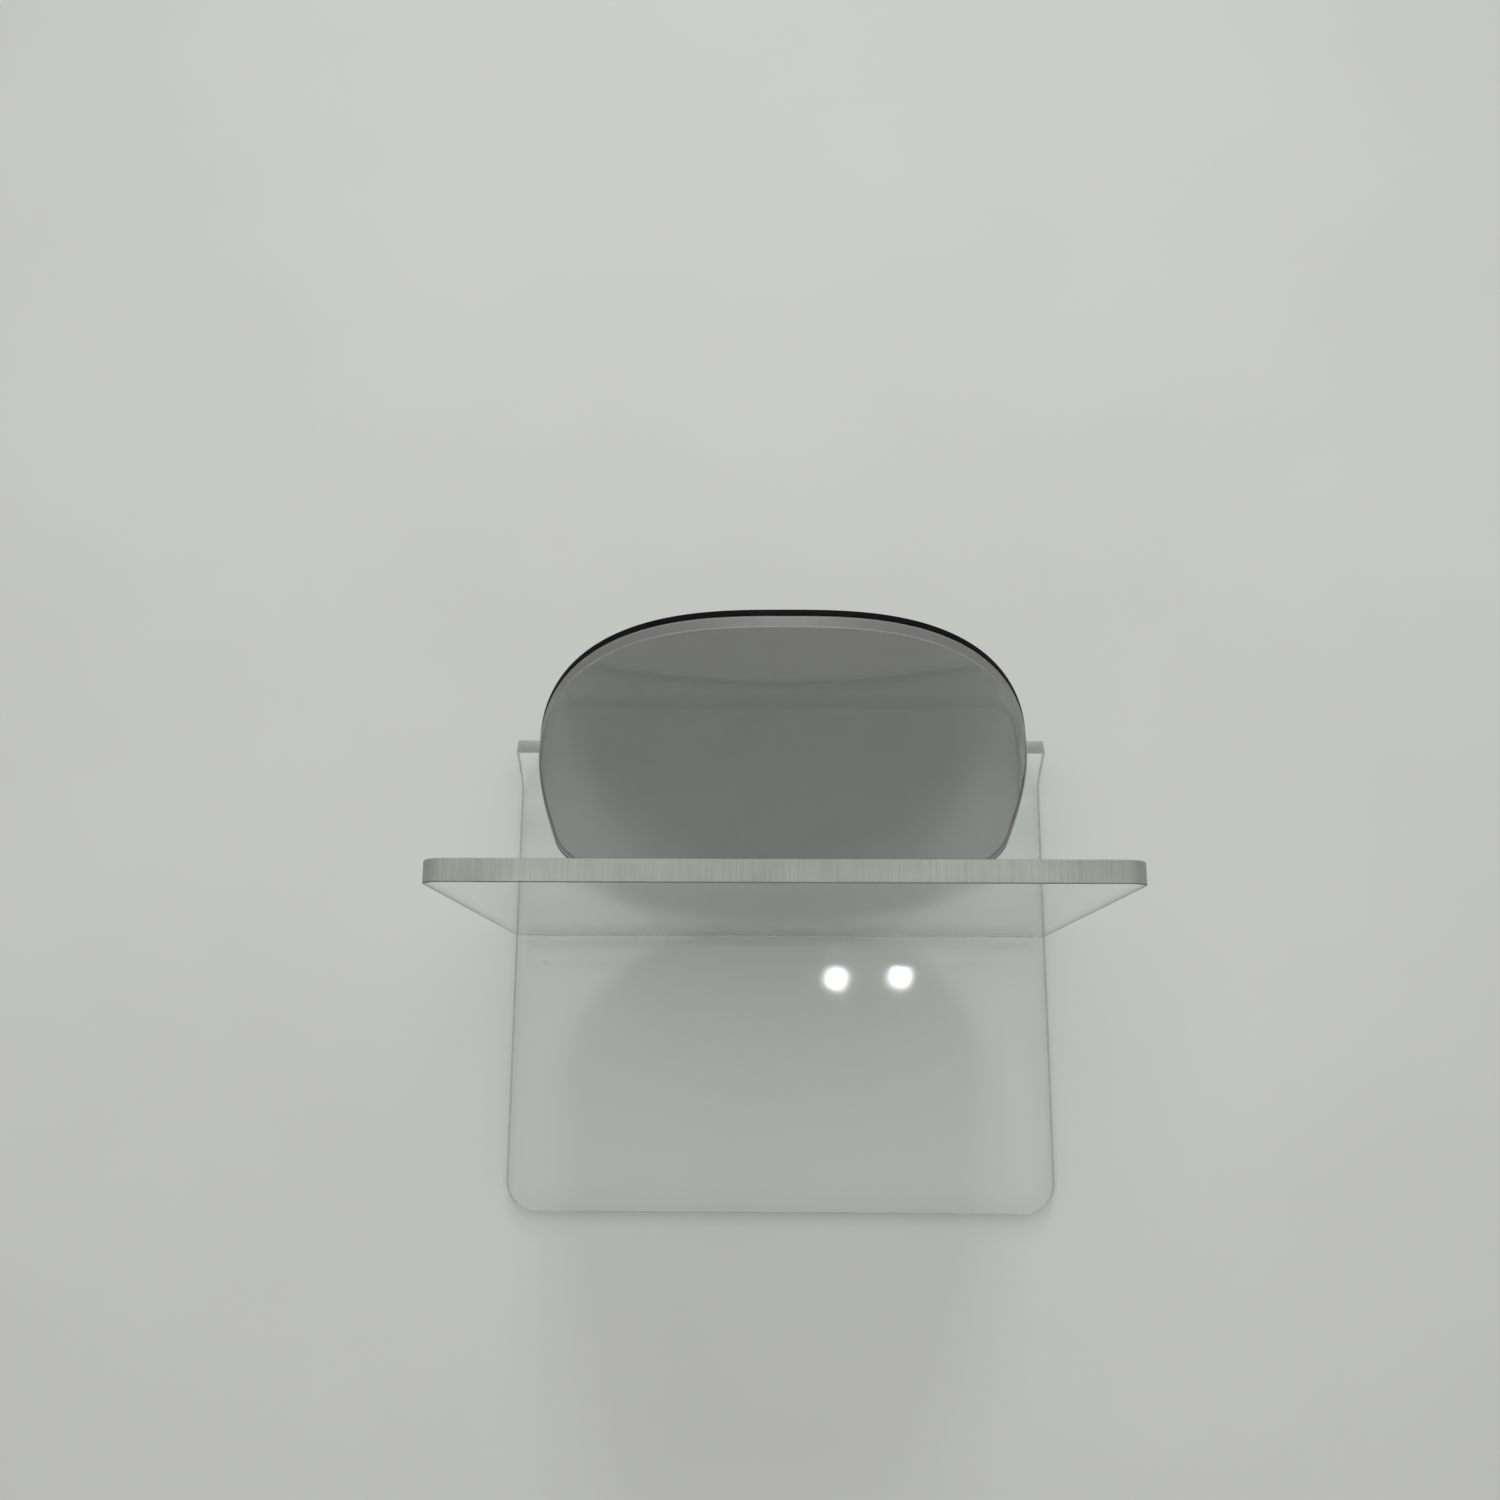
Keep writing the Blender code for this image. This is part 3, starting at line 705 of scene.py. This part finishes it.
def settle(draft, name, body, slot, *nodes, place=None, crease=None):
    """Plain mesh of a draft, put in its place and handed to the body that carries it."""
    graph = bpy.context.evaluated_depsgraph_get()
    shown = draft.evaluated_get(graph)
    mesh = bpy.data.meshes.new_from_object(shown, preserve_all_data_layers=True, depsgraph=graph)
    bpy.data.objects.remove(draft, do_unlink=True)
    if place is not None:
        mesh.transform(place)
    if not mesh.polygons:
        raise RuntimeError(f"{name} came out with no faces")
    mesh.name = name
    if crease:
        mesh.set_sharp_from_angle(angle=crease)
    piece = bpy.data.objects.new(name, mesh)
    bpy.context.scene.collection.objects.link(piece)
    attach(piece, body)
    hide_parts(*nodes)
    return piece


def tray_rows(sizes):
    """Cross rows of the tray from its front edge to its lip: upper point, lower point and half width."""
    half, radius = sizes.width / 2, sizes.tray_corner
    front, sheet = TRAY_LOW.y, sizes.sheet
    rows = []
    for step in range(CORNER_STEPS + 1):
        turn = UPRIGHT * step / CORNER_STEPS
        y = front + radius * (1 - math.cos(turn))
        rows.append(((y, sheet), (y, 0.0), half - radius + radius * math.sin(turn)))
    centre = (PANEL_HIGH.y + sizes.channel, sheet + sizes.lip_bend)
    upper = arc(centre, sizes.lip_bend, -UPRIGHT, -UPRIGHT + sizes.lip_angle, BEND_STEPS)
    lower = arc(centre, sizes.lip_bend + sheet, -UPRIGHT, -UPRIGHT + sizes.lip_angle, BEND_STEPS)
    rows += [(above, below, half) for above, below in zip(upper, lower)]
    rise = (sizes.lip_length * math.cos(sizes.lip_angle), sizes.lip_length * math.sin(sizes.lip_angle))
    above, below, _ = rows[-1]
    rows.append(((above[0] + rise[0], above[1] + rise[1]), (below[0] + rise[0], below[1] + rise[1]), half))
    return rows


def build_tray(sizes):
    """Clear tray, run from row to row, with its rims softly rounded apart from the lip's end."""
    shape = bmesh.new()
    rows = []
    for above, below, half in tray_rows(sizes):
        corners = [(-half, *above), (half, *above), (half, *below), (-half, *below)]
        rows.append([shape.verts.new(corner) for corner in corners])
    for first, second in zip(rows, rows[1:]):
        for side, strip in enumerate(bridge(shape, first, second)):
            strip.material_index = side % 2
    for row in (rows[0], rows[-1]):
        shape.faces.new(row).material_index = 1
    weights = shape.edges.layers.float.new("bevel_weight_edge")
    lip_end = set(rows[-1])
    for edge in shape.edges:
        if edge.calc_face_angle() > RIM_ANGLE and not lip_end.issuperset(edge.verts):
            edge[weights] = 1.0
    tray = draft_from("tray", shape, [FINISHES["clear"], FINISHES["cut"], FINISHES["rim"]])
    round_rims(tray, sizes.tray_round, RIM_STEPS, material=2, limit="WEIGHT")
    break_edges(tray, sizes.edge_break)
    settle(tray, "clear_tray", "stand", "clear_acrylic", "base_tray")


def build_panel(sizes):
    """Clear upright panel. Its cemented foot has the polished finish."""
    half = sizes.width / 2
    foot = sizes.sheet + sizes.cement
    corners = [
        (-half, foot, 0),
        (half, foot, 0),
        (half, PANEL_HIGH.z, sizes.panel_corner),
        (-half, PANEL_HIGH.z, sizes.panel_corner),
    ]
    panel = slab("panel", rounded(corners), 0, sizes.sheet, [FINISHES["clear"], FINISHES["panel_cut"]])
    for wall in panel.data.polygons:
        if wall.normal.y < FOOT_FACING:
            wall.material_index = 0
    break_edges(panel, sizes.edge_break)
    place = Matrix.Translation((0, PANEL_HIGH.y, 0)) @ Matrix.Rotation(UPRIGHT, 4, "X")
    settle(panel, "clear_panel", "stand", "clear_acrylic", "front_panel", place=place)


def bead_leg(sizes, x, phase):
    """Leg of the bead at a place along it, a little uneven as it is run in by hand."""
    waves = sum(height * math.sin(close * x + shift * phase) for close, height, shift in BEAD_WAVES)
    return sizes.bead * (BEAD_FULLNESS + BEAD_WAVINESS * waves)


def build_bead(sizes, name, node, face, away, phase):
    """Hollow-faced bead of cement in the corner between the tray and one face of the panel."""
    shape = bmesh.new()
    reach = sizes.width / 2 - sizes.bead_inset
    rows = []
    for step in range(BEAD_LENGTHS + 1):
        x = -reach + 2 * reach * step / BEAD_LENGTHS
        leg = bead_leg(sizes, x, phase)
        row = []
        for out, up in [(0, 0), *arc((leg, leg), leg, -UPRIGHT, -math.pi, CORNER_STEPS // 2)]:
            y = face + away * (out + sizes.cement)
            row.append(shape.verts.new((x, y, sizes.sheet + sizes.cement + up)))
        rows.append(row)
    for first, second in zip(rows, rows[1:]):
        bridge(shape, first, second)
    for row in (rows[0], rows[-1]):
        shape.faces.new(row)
    bead = draft_from("bead", shape, [FINISHES["cement"]])
    settle(bead, name, "stand", "dried_cement", node, crease=CREASE)


def mirror_places(mirror):
    """The leaning mirror's own frame, with +Y up along it and +Z out of its face, and its height."""
    seat_z = PANE_LOW.z + mirror.pane * math.sin(mirror.tilt)
    height = (PANE_HIGH.z - seat_z) / math.cos(mirror.tilt)
    seat = (0, PANE_LOW.y, seat_z)
    return seat, UPRIGHT - mirror.tilt, height


def new_tree(name, inputs):
    """Geometry node tree with inputs listed by kind and one output. Gives its wiring, inputs and output."""
    tree = bpy.data.node_groups.new(name, "GeometryNodeTree")
    for kind, sockets in inputs.items():
        for socket in sockets:
            tree.interface.new_socket(name=socket, in_out="INPUT", socket_type="NodeSocket" + kind)
    tree.interface.new_socket(name="Geometry", in_out="OUTPUT", socket_type="NodeSocketGeometry")
    wiring = Wiring(tree)
    return wiring, wiring.node("NodeGroupInput").outputs, wiring.node("NodeGroupOutput").inputs["Geometry"]


def layer_tree():
    """Geometry nodes for one layer of the mirror: a rounded outline, filled, thickened and leaned back."""
    sizes = ("Width", "Height", "Widest level", "Upper squareness", "Lower squareness", "Thickness", "Front")
    inputs = {"Float": sizes, "Int": ("Steps",), "Vector": ("Seat", "Turn"), "Material": ("Face", "Edge")}
    wiring, given, result = new_tree("Mirror layer", inputs)
    ring = wiring.shape("CurvePrimitiveCircle", {"Resolution": given["Steps"], "Radius": 1.0})
    factor = wiring.node("GeometryNodeSplineParameter").outputs["Factor"]
    turn = wiring.times(factor, 2 * math.pi)
    across, up = wiring.maths("COSINE", turn), wiring.maths("SINE", turn)
    above = wiring.maths("GREATER_THAN", up, 0.0)
    rest = wiring.maths("SUBTRACT", given["Height"], given["Widest level"])
    reach = wiring.remap(above, 0.0, 1.0, given["Widest level"], rest)
    squareness = wiring.remap(above, 0.0, 1.0, given["Lower squareness"], given["Upper squareness"])
    power = wiring.maths("DIVIDE", 2.0, squareness)
    swept = []
    for part in (across, up):
        size = wiring.maths("POWER", wiring.maths("ABSOLUTE", part), power)
        swept.append(wiring.times(size, wiring.maths("SIGN", part)))
    x = wiring.times(swept[0], wiring.times(given["Width"], 0.5))
    y = wiring.times(swept[1], reach, given["Widest level"])
    outline = wiring.shape("SetPosition", {"Geometry": ring, "Position": wiring.point(X=x, Y=y)})
    filled = wiring.shape("FillCurve", {"Curve": outline}, mode="NGONS")
    offset = wiring.point(Z=given["Thickness"])
    inputs = {"Mesh": filled, "Offset": offset, "Offset Scale": 1.0, "Individual": False}
    raised = wiring.node("GeometryNodeExtrudeMesh", inputs, mode="FACES")
    whole = wiring.node("GeometryNodeJoinGeometry")
    for half in (raised.outputs["Mesh"], wiring.shape("FlipFaces", {"Mesh": filled})):
        wiring.feed(whole.inputs["Geometry"], half)
    closed = wiring.shape("MergeByDistance", {"Geometry": whole.outputs["Geometry"], "Distance": WELD})
    back = wiring.maths("SUBTRACT", given["Front"], given["Thickness"])
    layered = wiring.shape("Transform", {"Geometry": closed, "Translation": wiring.point(Z=back)})
    inputs = {"Geometry": layered, "Translation": given["Seat"], "Rotation": given["Turn"]}
    real = wiring.shape("RealizeInstances", {"Geometry": wiring.shape("Transform", inputs)})
    faced = wiring.shape("SetMaterial", {"Geometry": real, "Material": given["Face"]})
    inputs = {"Geometry": faced, "Selection": raised.outputs["Side"], "Material": given["Edge"]}
    wiring.feed(result, wiring.shape("SetMaterial", inputs))
    return wiring.tree


def grow(name, tree, values, points=()):
    """Draft object of a geometry node tree, its inputs set by their identifiers."""
    mesh = bpy.data.meshes.new(name)
    mesh.from_pydata(list(points), [], [])
    draft = bpy.data.objects.new(name, mesh)
    nodes = draft.modifiers.new(tree.name, "NODES")
    nodes.node_group = tree
    for item in tree.interface.items_tree:
        if item.item_type == "SOCKET" and item.in_out == "INPUT" and item.name in values:
            nodes[item.identifier] = values[item.name]
    bpy.context.scene.collection.objects.link(draft)
    return draft


def paint_rim_highlight(piece, turn, material):
    """Gives the small bevel between a leaning layer's faces and its edge a finish of its own, whose pale tint
    is a painted highlight.
    """
    out = Matrix.Rotation(turn, 3, "X").col[2]
    piece.data.materials.append(material)
    low, high = BEVEL_FACING
    for face in piece.data.polygons:
        if low < abs(face.normal.dot(out)) < high:
            face.material_index = len(piece.data.materials) - 1


def build_mirror_layers(mirror):
    """The mirror's clear front, silver and backing, all from one tree."""
    seat, turn, height = mirror_places(mirror)
    tree = layer_tree()
    common = {
        "Width": mirror.width,
        "Height": height,
        "Widest level": mirror.widest,
        "Upper squareness": mirror.upper_squareness,
        "Lower squareness": mirror.lower_squareness,
        "Steps": OUTLINE_STEPS,
        "Seat": seat,
        "Turn": (turn, 0, 0),
    }
    film_front = -mirror.pane - mirror.gap
    board_front = film_front - mirror.film - mirror.gap
    rim = mirror.edge_break
    layers = [
        ("mirror_front", "mirror_pane", "mirror_acrylic", 0.0, mirror.pane, "pane", "pane_cut", rim),
        ("silver_layer", "mirror_film", "silvered_film", film_front, mirror.film, "silver", "board", 0.0),
        ("backing", "backing_board", "black_board", board_front, mirror.backing, "board", "board", BOARD_RIM),
    ]
    for name, node, slot, front, thickness, face, edge, bevel in layers:
        values = {"Front": front, "Thickness": thickness, "Face": FINISHES[face], "Edge": FINISHES[edge]}
        layer = grow(name + "_draft", tree, {**common, **values})
        if bevel:
            break_edges(layer, bevel)
        piece = settle(layer, name, "mirror", slot, node, crease=None if bevel else CREASE)
        if face == "pane":
            paint_rim_highlight(piece, turn, FINISHES["pane_rim"])


def hinge_places(mirror, strut):
    """Frame of the pin's middle along the mirror, and how far ahead of the pin the backing lies."""
    seat, turn, _ = mirror_places(mirror)
    backing_rear = -mirror.pane - mirror.film - mirror.backing - 2 * mirror.gap
    axis_depth = backing_rear - strut.knuckle_gap - strut.knuckle
    leaning = Matrix.Translation(seat) @ Matrix.Rotation(turn, 4, "X")
    along_mirror = leaning @ Matrix.Translation((0, strut.hinge_height, axis_depth))
    return along_mirror, backing_rear - axis_depth


def strut_place(sheet, strut):
    """Frame of the pin's middle along the opened strut, and the strut's reach down to the tray."""
    foot_y = PANEL_HIGH.y + sheet.channel - strut.foot_standoff
    drop = PIN_AXIS[2] - sheet.sheet - strut.rest_gap
    lean = math.atan2(foot_y - PIN_AXIS[1], drop)
    reach = drop / math.cos(lean) - strut.board / 2 * abs(math.tan(lean))
    return Matrix.Translation(PIN_AXIS) @ Matrix.Rotation(UPRIGHT + lean, 4, "X"), reach


def curl(strut, start, stop, side):
    """Sheet steel rolled round the pin, as an open ring drawn in YZ and run along X."""
    turns = [CURL * step / CURL_STEPS for step in range(CURL_STEPS + 1)]
    outer, inner = (
        [(-radius * math.sin(turn), radius * math.cos(turn)) for turn in turns]
        for radius in (strut.knuckle, strut.pin + strut.pin_clearance)
    )
    outline = outer + inner[::-1]
    shape = bmesh.new()
    ends = [[shape.verts.new((x, side * y, side * z)) for y, z in outline] for x in (start, stop)]
    bridge(shape, *ends)
    last = len(outline) - 1
    for end in ends:
        for k in range(CURL_STEPS):
            shape.faces.new((end[k], end[k + 1], end[last - 1 - k], end[last - k]))
    return draft_from("curl", shape, [FINISHES["steel"]])


def join_up(draft, others):
    """One solid of a leaf and its knuckles."""
    for other in others:
        union = draft.modifiers.new("knuckle", "BOOLEAN")
        union.operation = "UNION"
        union.solver = "EXACT"
        union.object = other
    break_edges(draft, METAL_RIM)


def plate_rivets(strut, rivets):
    """Rivet places on the fixed leaf, measured from the middle of the pin."""
    across = strut.hinge_width / 2 - rivets.edge
    levels = (strut.knuckle + rivets.edge, strut.plate_height - rivets.edge)
    return [(side * across, level) for level in levels for side in (-1, 1)]


def leaf_rivets(strut, rivets):
    """Rivet places on the strut's leaf, measured from the middle of the pin."""
    across = strut.leaf_width / 2 - rivets.edge
    top = -strut.knuckle - strut.shoulder
    upper = top - rivets.edge
    return [(-across, upper), (across, upper), (0, top - strut.leaf_length + rivets.edge)]


def build_hinge(mirror, sheet, strut):
    """Both leaves of the hinge and its pin."""
    along_mirror, backing = hinge_places(mirror, strut)
    along_strut, _ = strut_place(sheet, strut)
    half, tongue = strut.hinge_width / 2, strut.leaf_knuckle / 2
    notch = tongue + strut.knuckle_gap
    notch_top = strut.knuckle + strut.shoulder
    plate = [
        (-half, 0, 0),
        (-notch, 0, 0),
        (-notch, notch_top, 0),
        (notch, notch_top, 0),
        (notch, 0, 0),
        (half, 0, 0),
        (half, strut.plate_height, strut.hinge_corner),
        (-half, strut.plate_height, strut.hinge_corner),
    ]
    front = backing - mirror.gap
    steel = [FINISHES["steel"]]
    fixed = slab("plate", rounded(plate), front - strut.metal, front, steel)
    rolls = [curl(strut, -half, -notch, 1), curl(strut, notch, half, 1)]
    join_up(fixed, rolls)
    settle(fixed, "hinge_plate", "mirror", "plated_steel", "strut_hinge_plate", place=along_mirror)
    top = -strut.knuckle - strut.shoulder
    foot, side = top - strut.leaf_length, strut.leaf_width / 2
    leaf = [
        (-tongue, 0, 0),
        (-tongue, top, 0),
        (-side, top, 0),
        (-side, foot, strut.hinge_corner),
        (side, foot, strut.hinge_corner),
        (side, top, 0),
        (tongue, top, 0),
        (tongue, 0, 0),
    ]
    moving = slab("leaf", rounded(leaf), -strut.knuckle, strut.metal - strut.knuckle, steel)
    roll = curl(strut, -tongue, tongue, -1)
    join_up(moving, [roll])
    settle(moving, "hinge_leaf", "strut", "plated_steel", "strut_hinge_leaf", place=along_strut)
    for helper in (*rolls, roll):
        bpy.data.objects.remove(helper, do_unlink=True)
    reach = half + strut.pin_end
    pin = slab("pin", arc((0, 0), strut.pin, 0, 2 * math.pi, ROUND_STEPS)[:-1], -reach, reach, steel)
    break_edges(pin, PIN_RIM)
    place = along_mirror @ Matrix.Rotation(UPRIGHT, 4, "Y")
    settle(pin, "pin", "mirror", "plated_steel", "hinge_pin", place=place)


def build_strut(sheet, strut):
    """Easel strut, wider at its foot."""
    along_strut, reach = strut_place(sheet, strut)
    top, foot = strut.top_width / 2, strut.foot_width / 2
    head = -strut.knuckle - strut.shoulder
    corners = [
        (-top, head, strut.corner),
        (-foot, -reach, strut.corner),
        (foot, -reach, strut.corner),
        (top, head, strut.corner),
    ]
    rear = strut.metal - strut.knuckle + LEAF_GAP
    board = slab("strut", rounded(corners), rear, rear + strut.board, [FINISHES["board"]])
    break_edges(board, STRUT_RIM)
    settle(board, "easel_leg", "strut", "black_board", "easel_strut", place=along_strut)


def rivet_tree():
    """Geometry nodes for rivets: one turned shape with a domed head and a flat tail, put on every point."""
    sizes = ("Head radius", "Head height", "Shank radius", "Shank length", "Tail radius", "Tail height")
    inputs = {
        "Geometry": ("Places",),
        "Float": sizes,
        "Int": ("Segments",),
        "Vector": ("Turn",),
        "Material": ("Finish",),
    }
    wiring, given, result = new_tree("Rivets", inputs)
    end = wiring.maths("ADD", given["Shank length"], given["Tail height"])
    rings = [(0.0, wiring.times(given["Head height"], -1.0))]
    for step in range(1, DOME_STEPS + 1):
        turn = UPRIGHT * (1 - step / DOME_STEPS)
        radius = wiring.times(given["Head radius"], math.cos(turn))
        rings.append((radius, wiring.times(given["Head height"], -math.sin(turn))))
    rings += [
        (given["Shank radius"], 0.0),
        (given["Shank radius"], given["Shank length"]),
        (given["Tail radius"], given["Shank length"]),
        (given["Tail radius"], end),
        (0.0, end),
    ]
    around = wiring.maths("ADD", given["Segments"], 1.0)
    inputs = {"Size X": 1.0, "Size Y": 1.0, "Vertices X": around, "Vertices Y": len(rings)}
    grid = wiring.shape("MeshGrid", inputs)
    spot = wiring.axes(wiring.node("GeometryNodeInputPosition").outputs["Position"])
    turn = wiring.times(wiring.maths("ADD", spot["X"], 0.5), 2 * math.pi)
    row = wiring.times(wiring.maths("ADD", spot["Y"], 0.5), len(rings) - 1.0)
    ring = wiring.maths("ROUND", row)
    chosen = []
    for column in zip(*rings):
        choice = wiring.node("GeometryNodeIndexSwitch", data_type="FLOAT")
        while len(choice.index_switch_items) < len(rings):
            choice.index_switch_items.new()
        for i, value in enumerate((ring, *column)):
            wiring.feed(choice.inputs[i], value)
        chosen.append(choice.outputs[0])
    radius, level = chosen
    x = wiring.times(radius, wiring.maths("COSINE", turn))
    y = wiring.times(radius, wiring.maths("SINE", turn))
    turned = wiring.shape("SetPosition", {"Geometry": grid, "Position": wiring.point(X=x, Y=y, Z=level)})
    rivet = wiring.shape("MergeByDistance", {"Geometry": turned, "Distance": WELD})
    lean = wiring.node("FunctionNodeEulerToRotation", {0: given["Turn"]}).outputs[0]
    inputs = {"Points": given["Places"], "Instance": rivet, "Rotation": lean}
    spread = wiring.shape("InstanceOnPoints", inputs)
    real = wiring.shape("RealizeInstances", {"Geometry": spread})
    wiring.feed(result, wiring.shape("SetMaterial", {"Geometry": real, "Material": given["Finish"]}))
    return wiring.tree


def outward(piece):
    """Turns every face of a closed piece outwards."""
    shape = bmesh.new()
    shape.from_mesh(piece.data)
    bmesh.ops.recalc_face_normals(shape, faces=shape.faces)
    shape.to_mesh(piece.data)
    shape.free()


def build_rivets(mirror, sheet, strut, rivets):
    """Two sets of rivets: those in the backing, and those through the strut."""
    along_mirror, backing = hinge_places(mirror, strut)
    along_strut, _ = strut_place(sheet, strut)
    tree = rivet_tree()
    common = {
        "Head radius": rivets.head_radius,
        "Head height": rivets.head_height,
        "Shank radius": rivets.shank,
        "Tail height": rivets.tail_height,
        "Segments": rivets.segments,
        "Finish": FINISHES["steel"],
    }
    under_plate = backing - mirror.gap - strut.metal - rivets.seat
    under_leaf = -strut.knuckle - rivets.seat
    plate_shank = backing + mirror.backing - rivets.tail_height - rivets.seat - under_plate
    leaf_shank = strut.metal + strut.board + LEAF_GAP + 2 * rivets.seat
    in_plate = ("plate_rivets", "mirror", "hinge_plate_rivet", plate_rivets(strut, rivets), along_mirror)
    in_leaf = ("strut_rivets", "strut", "strut_rivet", leaf_rivets(strut, rivets), along_strut)
    sets = [
        (*in_plate, under_plate, plate_shank, rivets.shank),
        (*in_leaf, under_leaf, leaf_shank, rivets.tail_radius),
    ]
    for name, body, node, places, place, under, shank, tail in sets:
        points = [place @ Vector((x, y, under)) for x, y in places]
        values = {"Shank length": shank, "Tail radius": tail, "Turn": tuple(place.to_euler())}
        draft = grow(name + "_draft", tree, {**common, **values}, points)
        nodes = [f"{node}_{number}" for number in range(1, len(places) + 1)]
        outward(settle(draft, name, body, "plated_steel", *nodes, crease=CREASE))


def place_camera(scene, studio):
    camera = bpy.data.objects.new("camera", bpy.data.cameras.new("camera"))
    camera.location = studio.camera_place
    camera.rotation_euler = studio.camera_turn
    camera.data.lens = studio.lens
    camera.data.sensor_width = SENSOR_WIDTH
    camera.data.clip_start = NEAR_CLIP
    scene.collection.objects.link(camera)
    scene.camera = camera


def lay_table(tint):
    """Table top a hair below the tray."""
    shape = bmesh.new()
    bmesh.ops.create_grid(shape, x_segments=TABLE_SPANS, y_segments=TABLE_SPANS, size=TABLE_REACH)
    floor = draft_from("table", shape, [table_material(tint)])
    floor.location.z = -TABLE_GAP


def hang_lamps(scene, studio):
    for name, (location, outline, side, power, glints) in LAMPS.items():
        lamp = bpy.data.lights.new(name, "AREA")
        lamp.shape = outline
        lamp.size = side
        lamp.energy = getattr(studio, power)
        lit = bpy.data.objects.new(name, lamp)
        lit.location = location
        lit.rotation_euler = Vector(location).to_track_quat("Z", "Y").to_euler()
        lit.visible_transmission = glints
        lit.visible_glossy = glints
        scene.collection.objects.link(lit)


def build_stage(studio, tint):
    """Camera, table, lamps and the even light from all round."""
    scene = bpy.context.scene
    place_camera(scene, studio)
    lay_table(tint)
    hang_lamps(scene, studio)
    world = bpy.data.worlds.new("studio")
    world.use_nodes = True
    background = world.node_tree.nodes["Background"].inputs
    background["Color"].default_value = opaque(SURROUND_TINT)
    background["Strength"].default_value = studio.surround
    scene.world = world
    scene.view_settings.view_transform = "Standard"


class MIRROR_OT_finishes(bpy.types.Operator):
    """Make the materials of the mirror, the tray and the hinge"""

    bl_idname = "mirror.finishes"
    bl_label = "Finishes"

    def execute(self, context):
        make_finishes(context.scene.mirror_colours, context.scene.mirror_sizes)
        return {"FINISHED"}


class MIRROR_OT_tray(bpy.types.Operator):
    """Build the clear tray with its rear lip"""

    bl_idname = "mirror.tray"
    bl_label = "Tray"

    def execute(self, context):
        build_tray(context.scene.mirror_sheet)
        return {"FINISHED"}


class MIRROR_OT_panel(bpy.types.Operator):
    """Build the clear upright panel and the cement beads along its foot"""

    bl_idname = "mirror.panel"
    bl_label = "Panel and beads"

    def execute(self, context):
        sizes = context.scene.mirror_sheet
        build_panel(sizes)
        build_bead(sizes, "bead_front", "panel_cement_front", PANEL_LOW.y, away=-1, phase=0.7)
        build_bead(sizes, "bead_rear", "panel_cement_rear", PANEL_HIGH.y, away=1, phase=2.9)
        return {"FINISHED"}


class MIRROR_OT_layers(bpy.types.Operator):
    """Build the mirror's clear front, reflecting layer and backing"""

    bl_idname = "mirror.layers"
    bl_label = "Mirror layers"

    def execute(self, context):
        build_mirror_layers(context.scene.mirror_sizes)
        return {"FINISHED"}


class MIRROR_OT_strut(bpy.types.Operator):
    """Build the easel strut"""

    bl_idname = "mirror.strut"
    bl_label = "Strut"

    def execute(self, context):
        build_strut(context.scene.mirror_sheet, context.scene.mirror_strut)
        return {"FINISHED"}


class MIRROR_OT_hinge(bpy.types.Operator):
    """Build the hinge's two leaves and its pin"""

    bl_idname = "mirror.hinge"
    bl_label = "Hinge"

    def execute(self, context):
        scene = context.scene
        build_hinge(scene.mirror_sizes, scene.mirror_sheet, scene.mirror_strut)
        return {"FINISHED"}


class MIRROR_OT_rivets(bpy.types.Operator):
    """Build the rivets of the hinge"""

    bl_idname = "mirror.rivets"
    bl_label = "Rivets"

    def execute(self, context):
        scene = context.scene
        build_rivets(scene.mirror_sizes, scene.mirror_sheet, scene.mirror_strut, scene.mirror_rivets)
        return {"FINISHED"}


class MIRROR_OT_stage(bpy.types.Operator):
    """Set up the table, the lamps and the camera"""

    bl_idname = "mirror.stage"
    bl_label = "Stage"

    def execute(self, context):
        scene = context.scene
        build_stage(scene.mirror_studio, tuple(scene.mirror_colours.table))
        return {"FINISHED"}


OPERATORS = (
    MIRROR_OT_finishes,
    MIRROR_OT_tray,
    MIRROR_OT_panel,
    MIRROR_OT_layers,
    MIRROR_OT_strut,
    MIRROR_OT_hinge,
    MIRROR_OT_rivets,
    MIRROR_OT_stage,
)


class MIRROR_PT_pieces(bpy.types.Panel):
    """Lists the steps that build the countertop mirror"""

    bl_idname = "MIRROR_PT_pieces"
    bl_label = "Countertop mirror"
    bl_space_type = "VIEW_3D"
    bl_region_type = "UI"
    bl_category = "Mirror"

    def draw(self, context):
        for operator in OPERATORS:
            self.layout.operator(operator.bl_idname)


SETTINGS = {
    "mirror_sheet": SheetSizes,
    "mirror_sizes": MirrorSizes,
    "mirror_strut": StrutSizes,
    "mirror_rivets": RivetSizes,
    "mirror_colours": FinishColours,
    "mirror_studio": StudioSettings,
}


def register():
    for settings in SETTINGS.values():
        bpy.utils.register_class(settings)
    for name, settings in SETTINGS.items():
        setattr(bpy.types.Scene, name, PointerProperty(type=settings))
    for shown in (*OPERATORS, MIRROR_PT_pieces):
        bpy.utils.register_class(shown)


def unregister():
    for shown in (MIRROR_PT_pieces, *OPERATORS[::-1]):
        bpy.utils.unregister_class(shown)
    for name, settings in SETTINGS.items():
        delattr(bpy.types.Scene, name)
        bpy.utils.unregister_class(settings)


def main():
    register()
    bpy.ops.mirror.finishes()
    bpy.ops.mirror.tray()
    bpy.ops.mirror.panel()
    bpy.ops.mirror.layers()
    bpy.ops.mirror.strut()
    bpy.ops.mirror.hinge()
    bpy.ops.mirror.rivets()
    bpy.ops.mirror.stage()


if __name__ == "__main__":
    main()
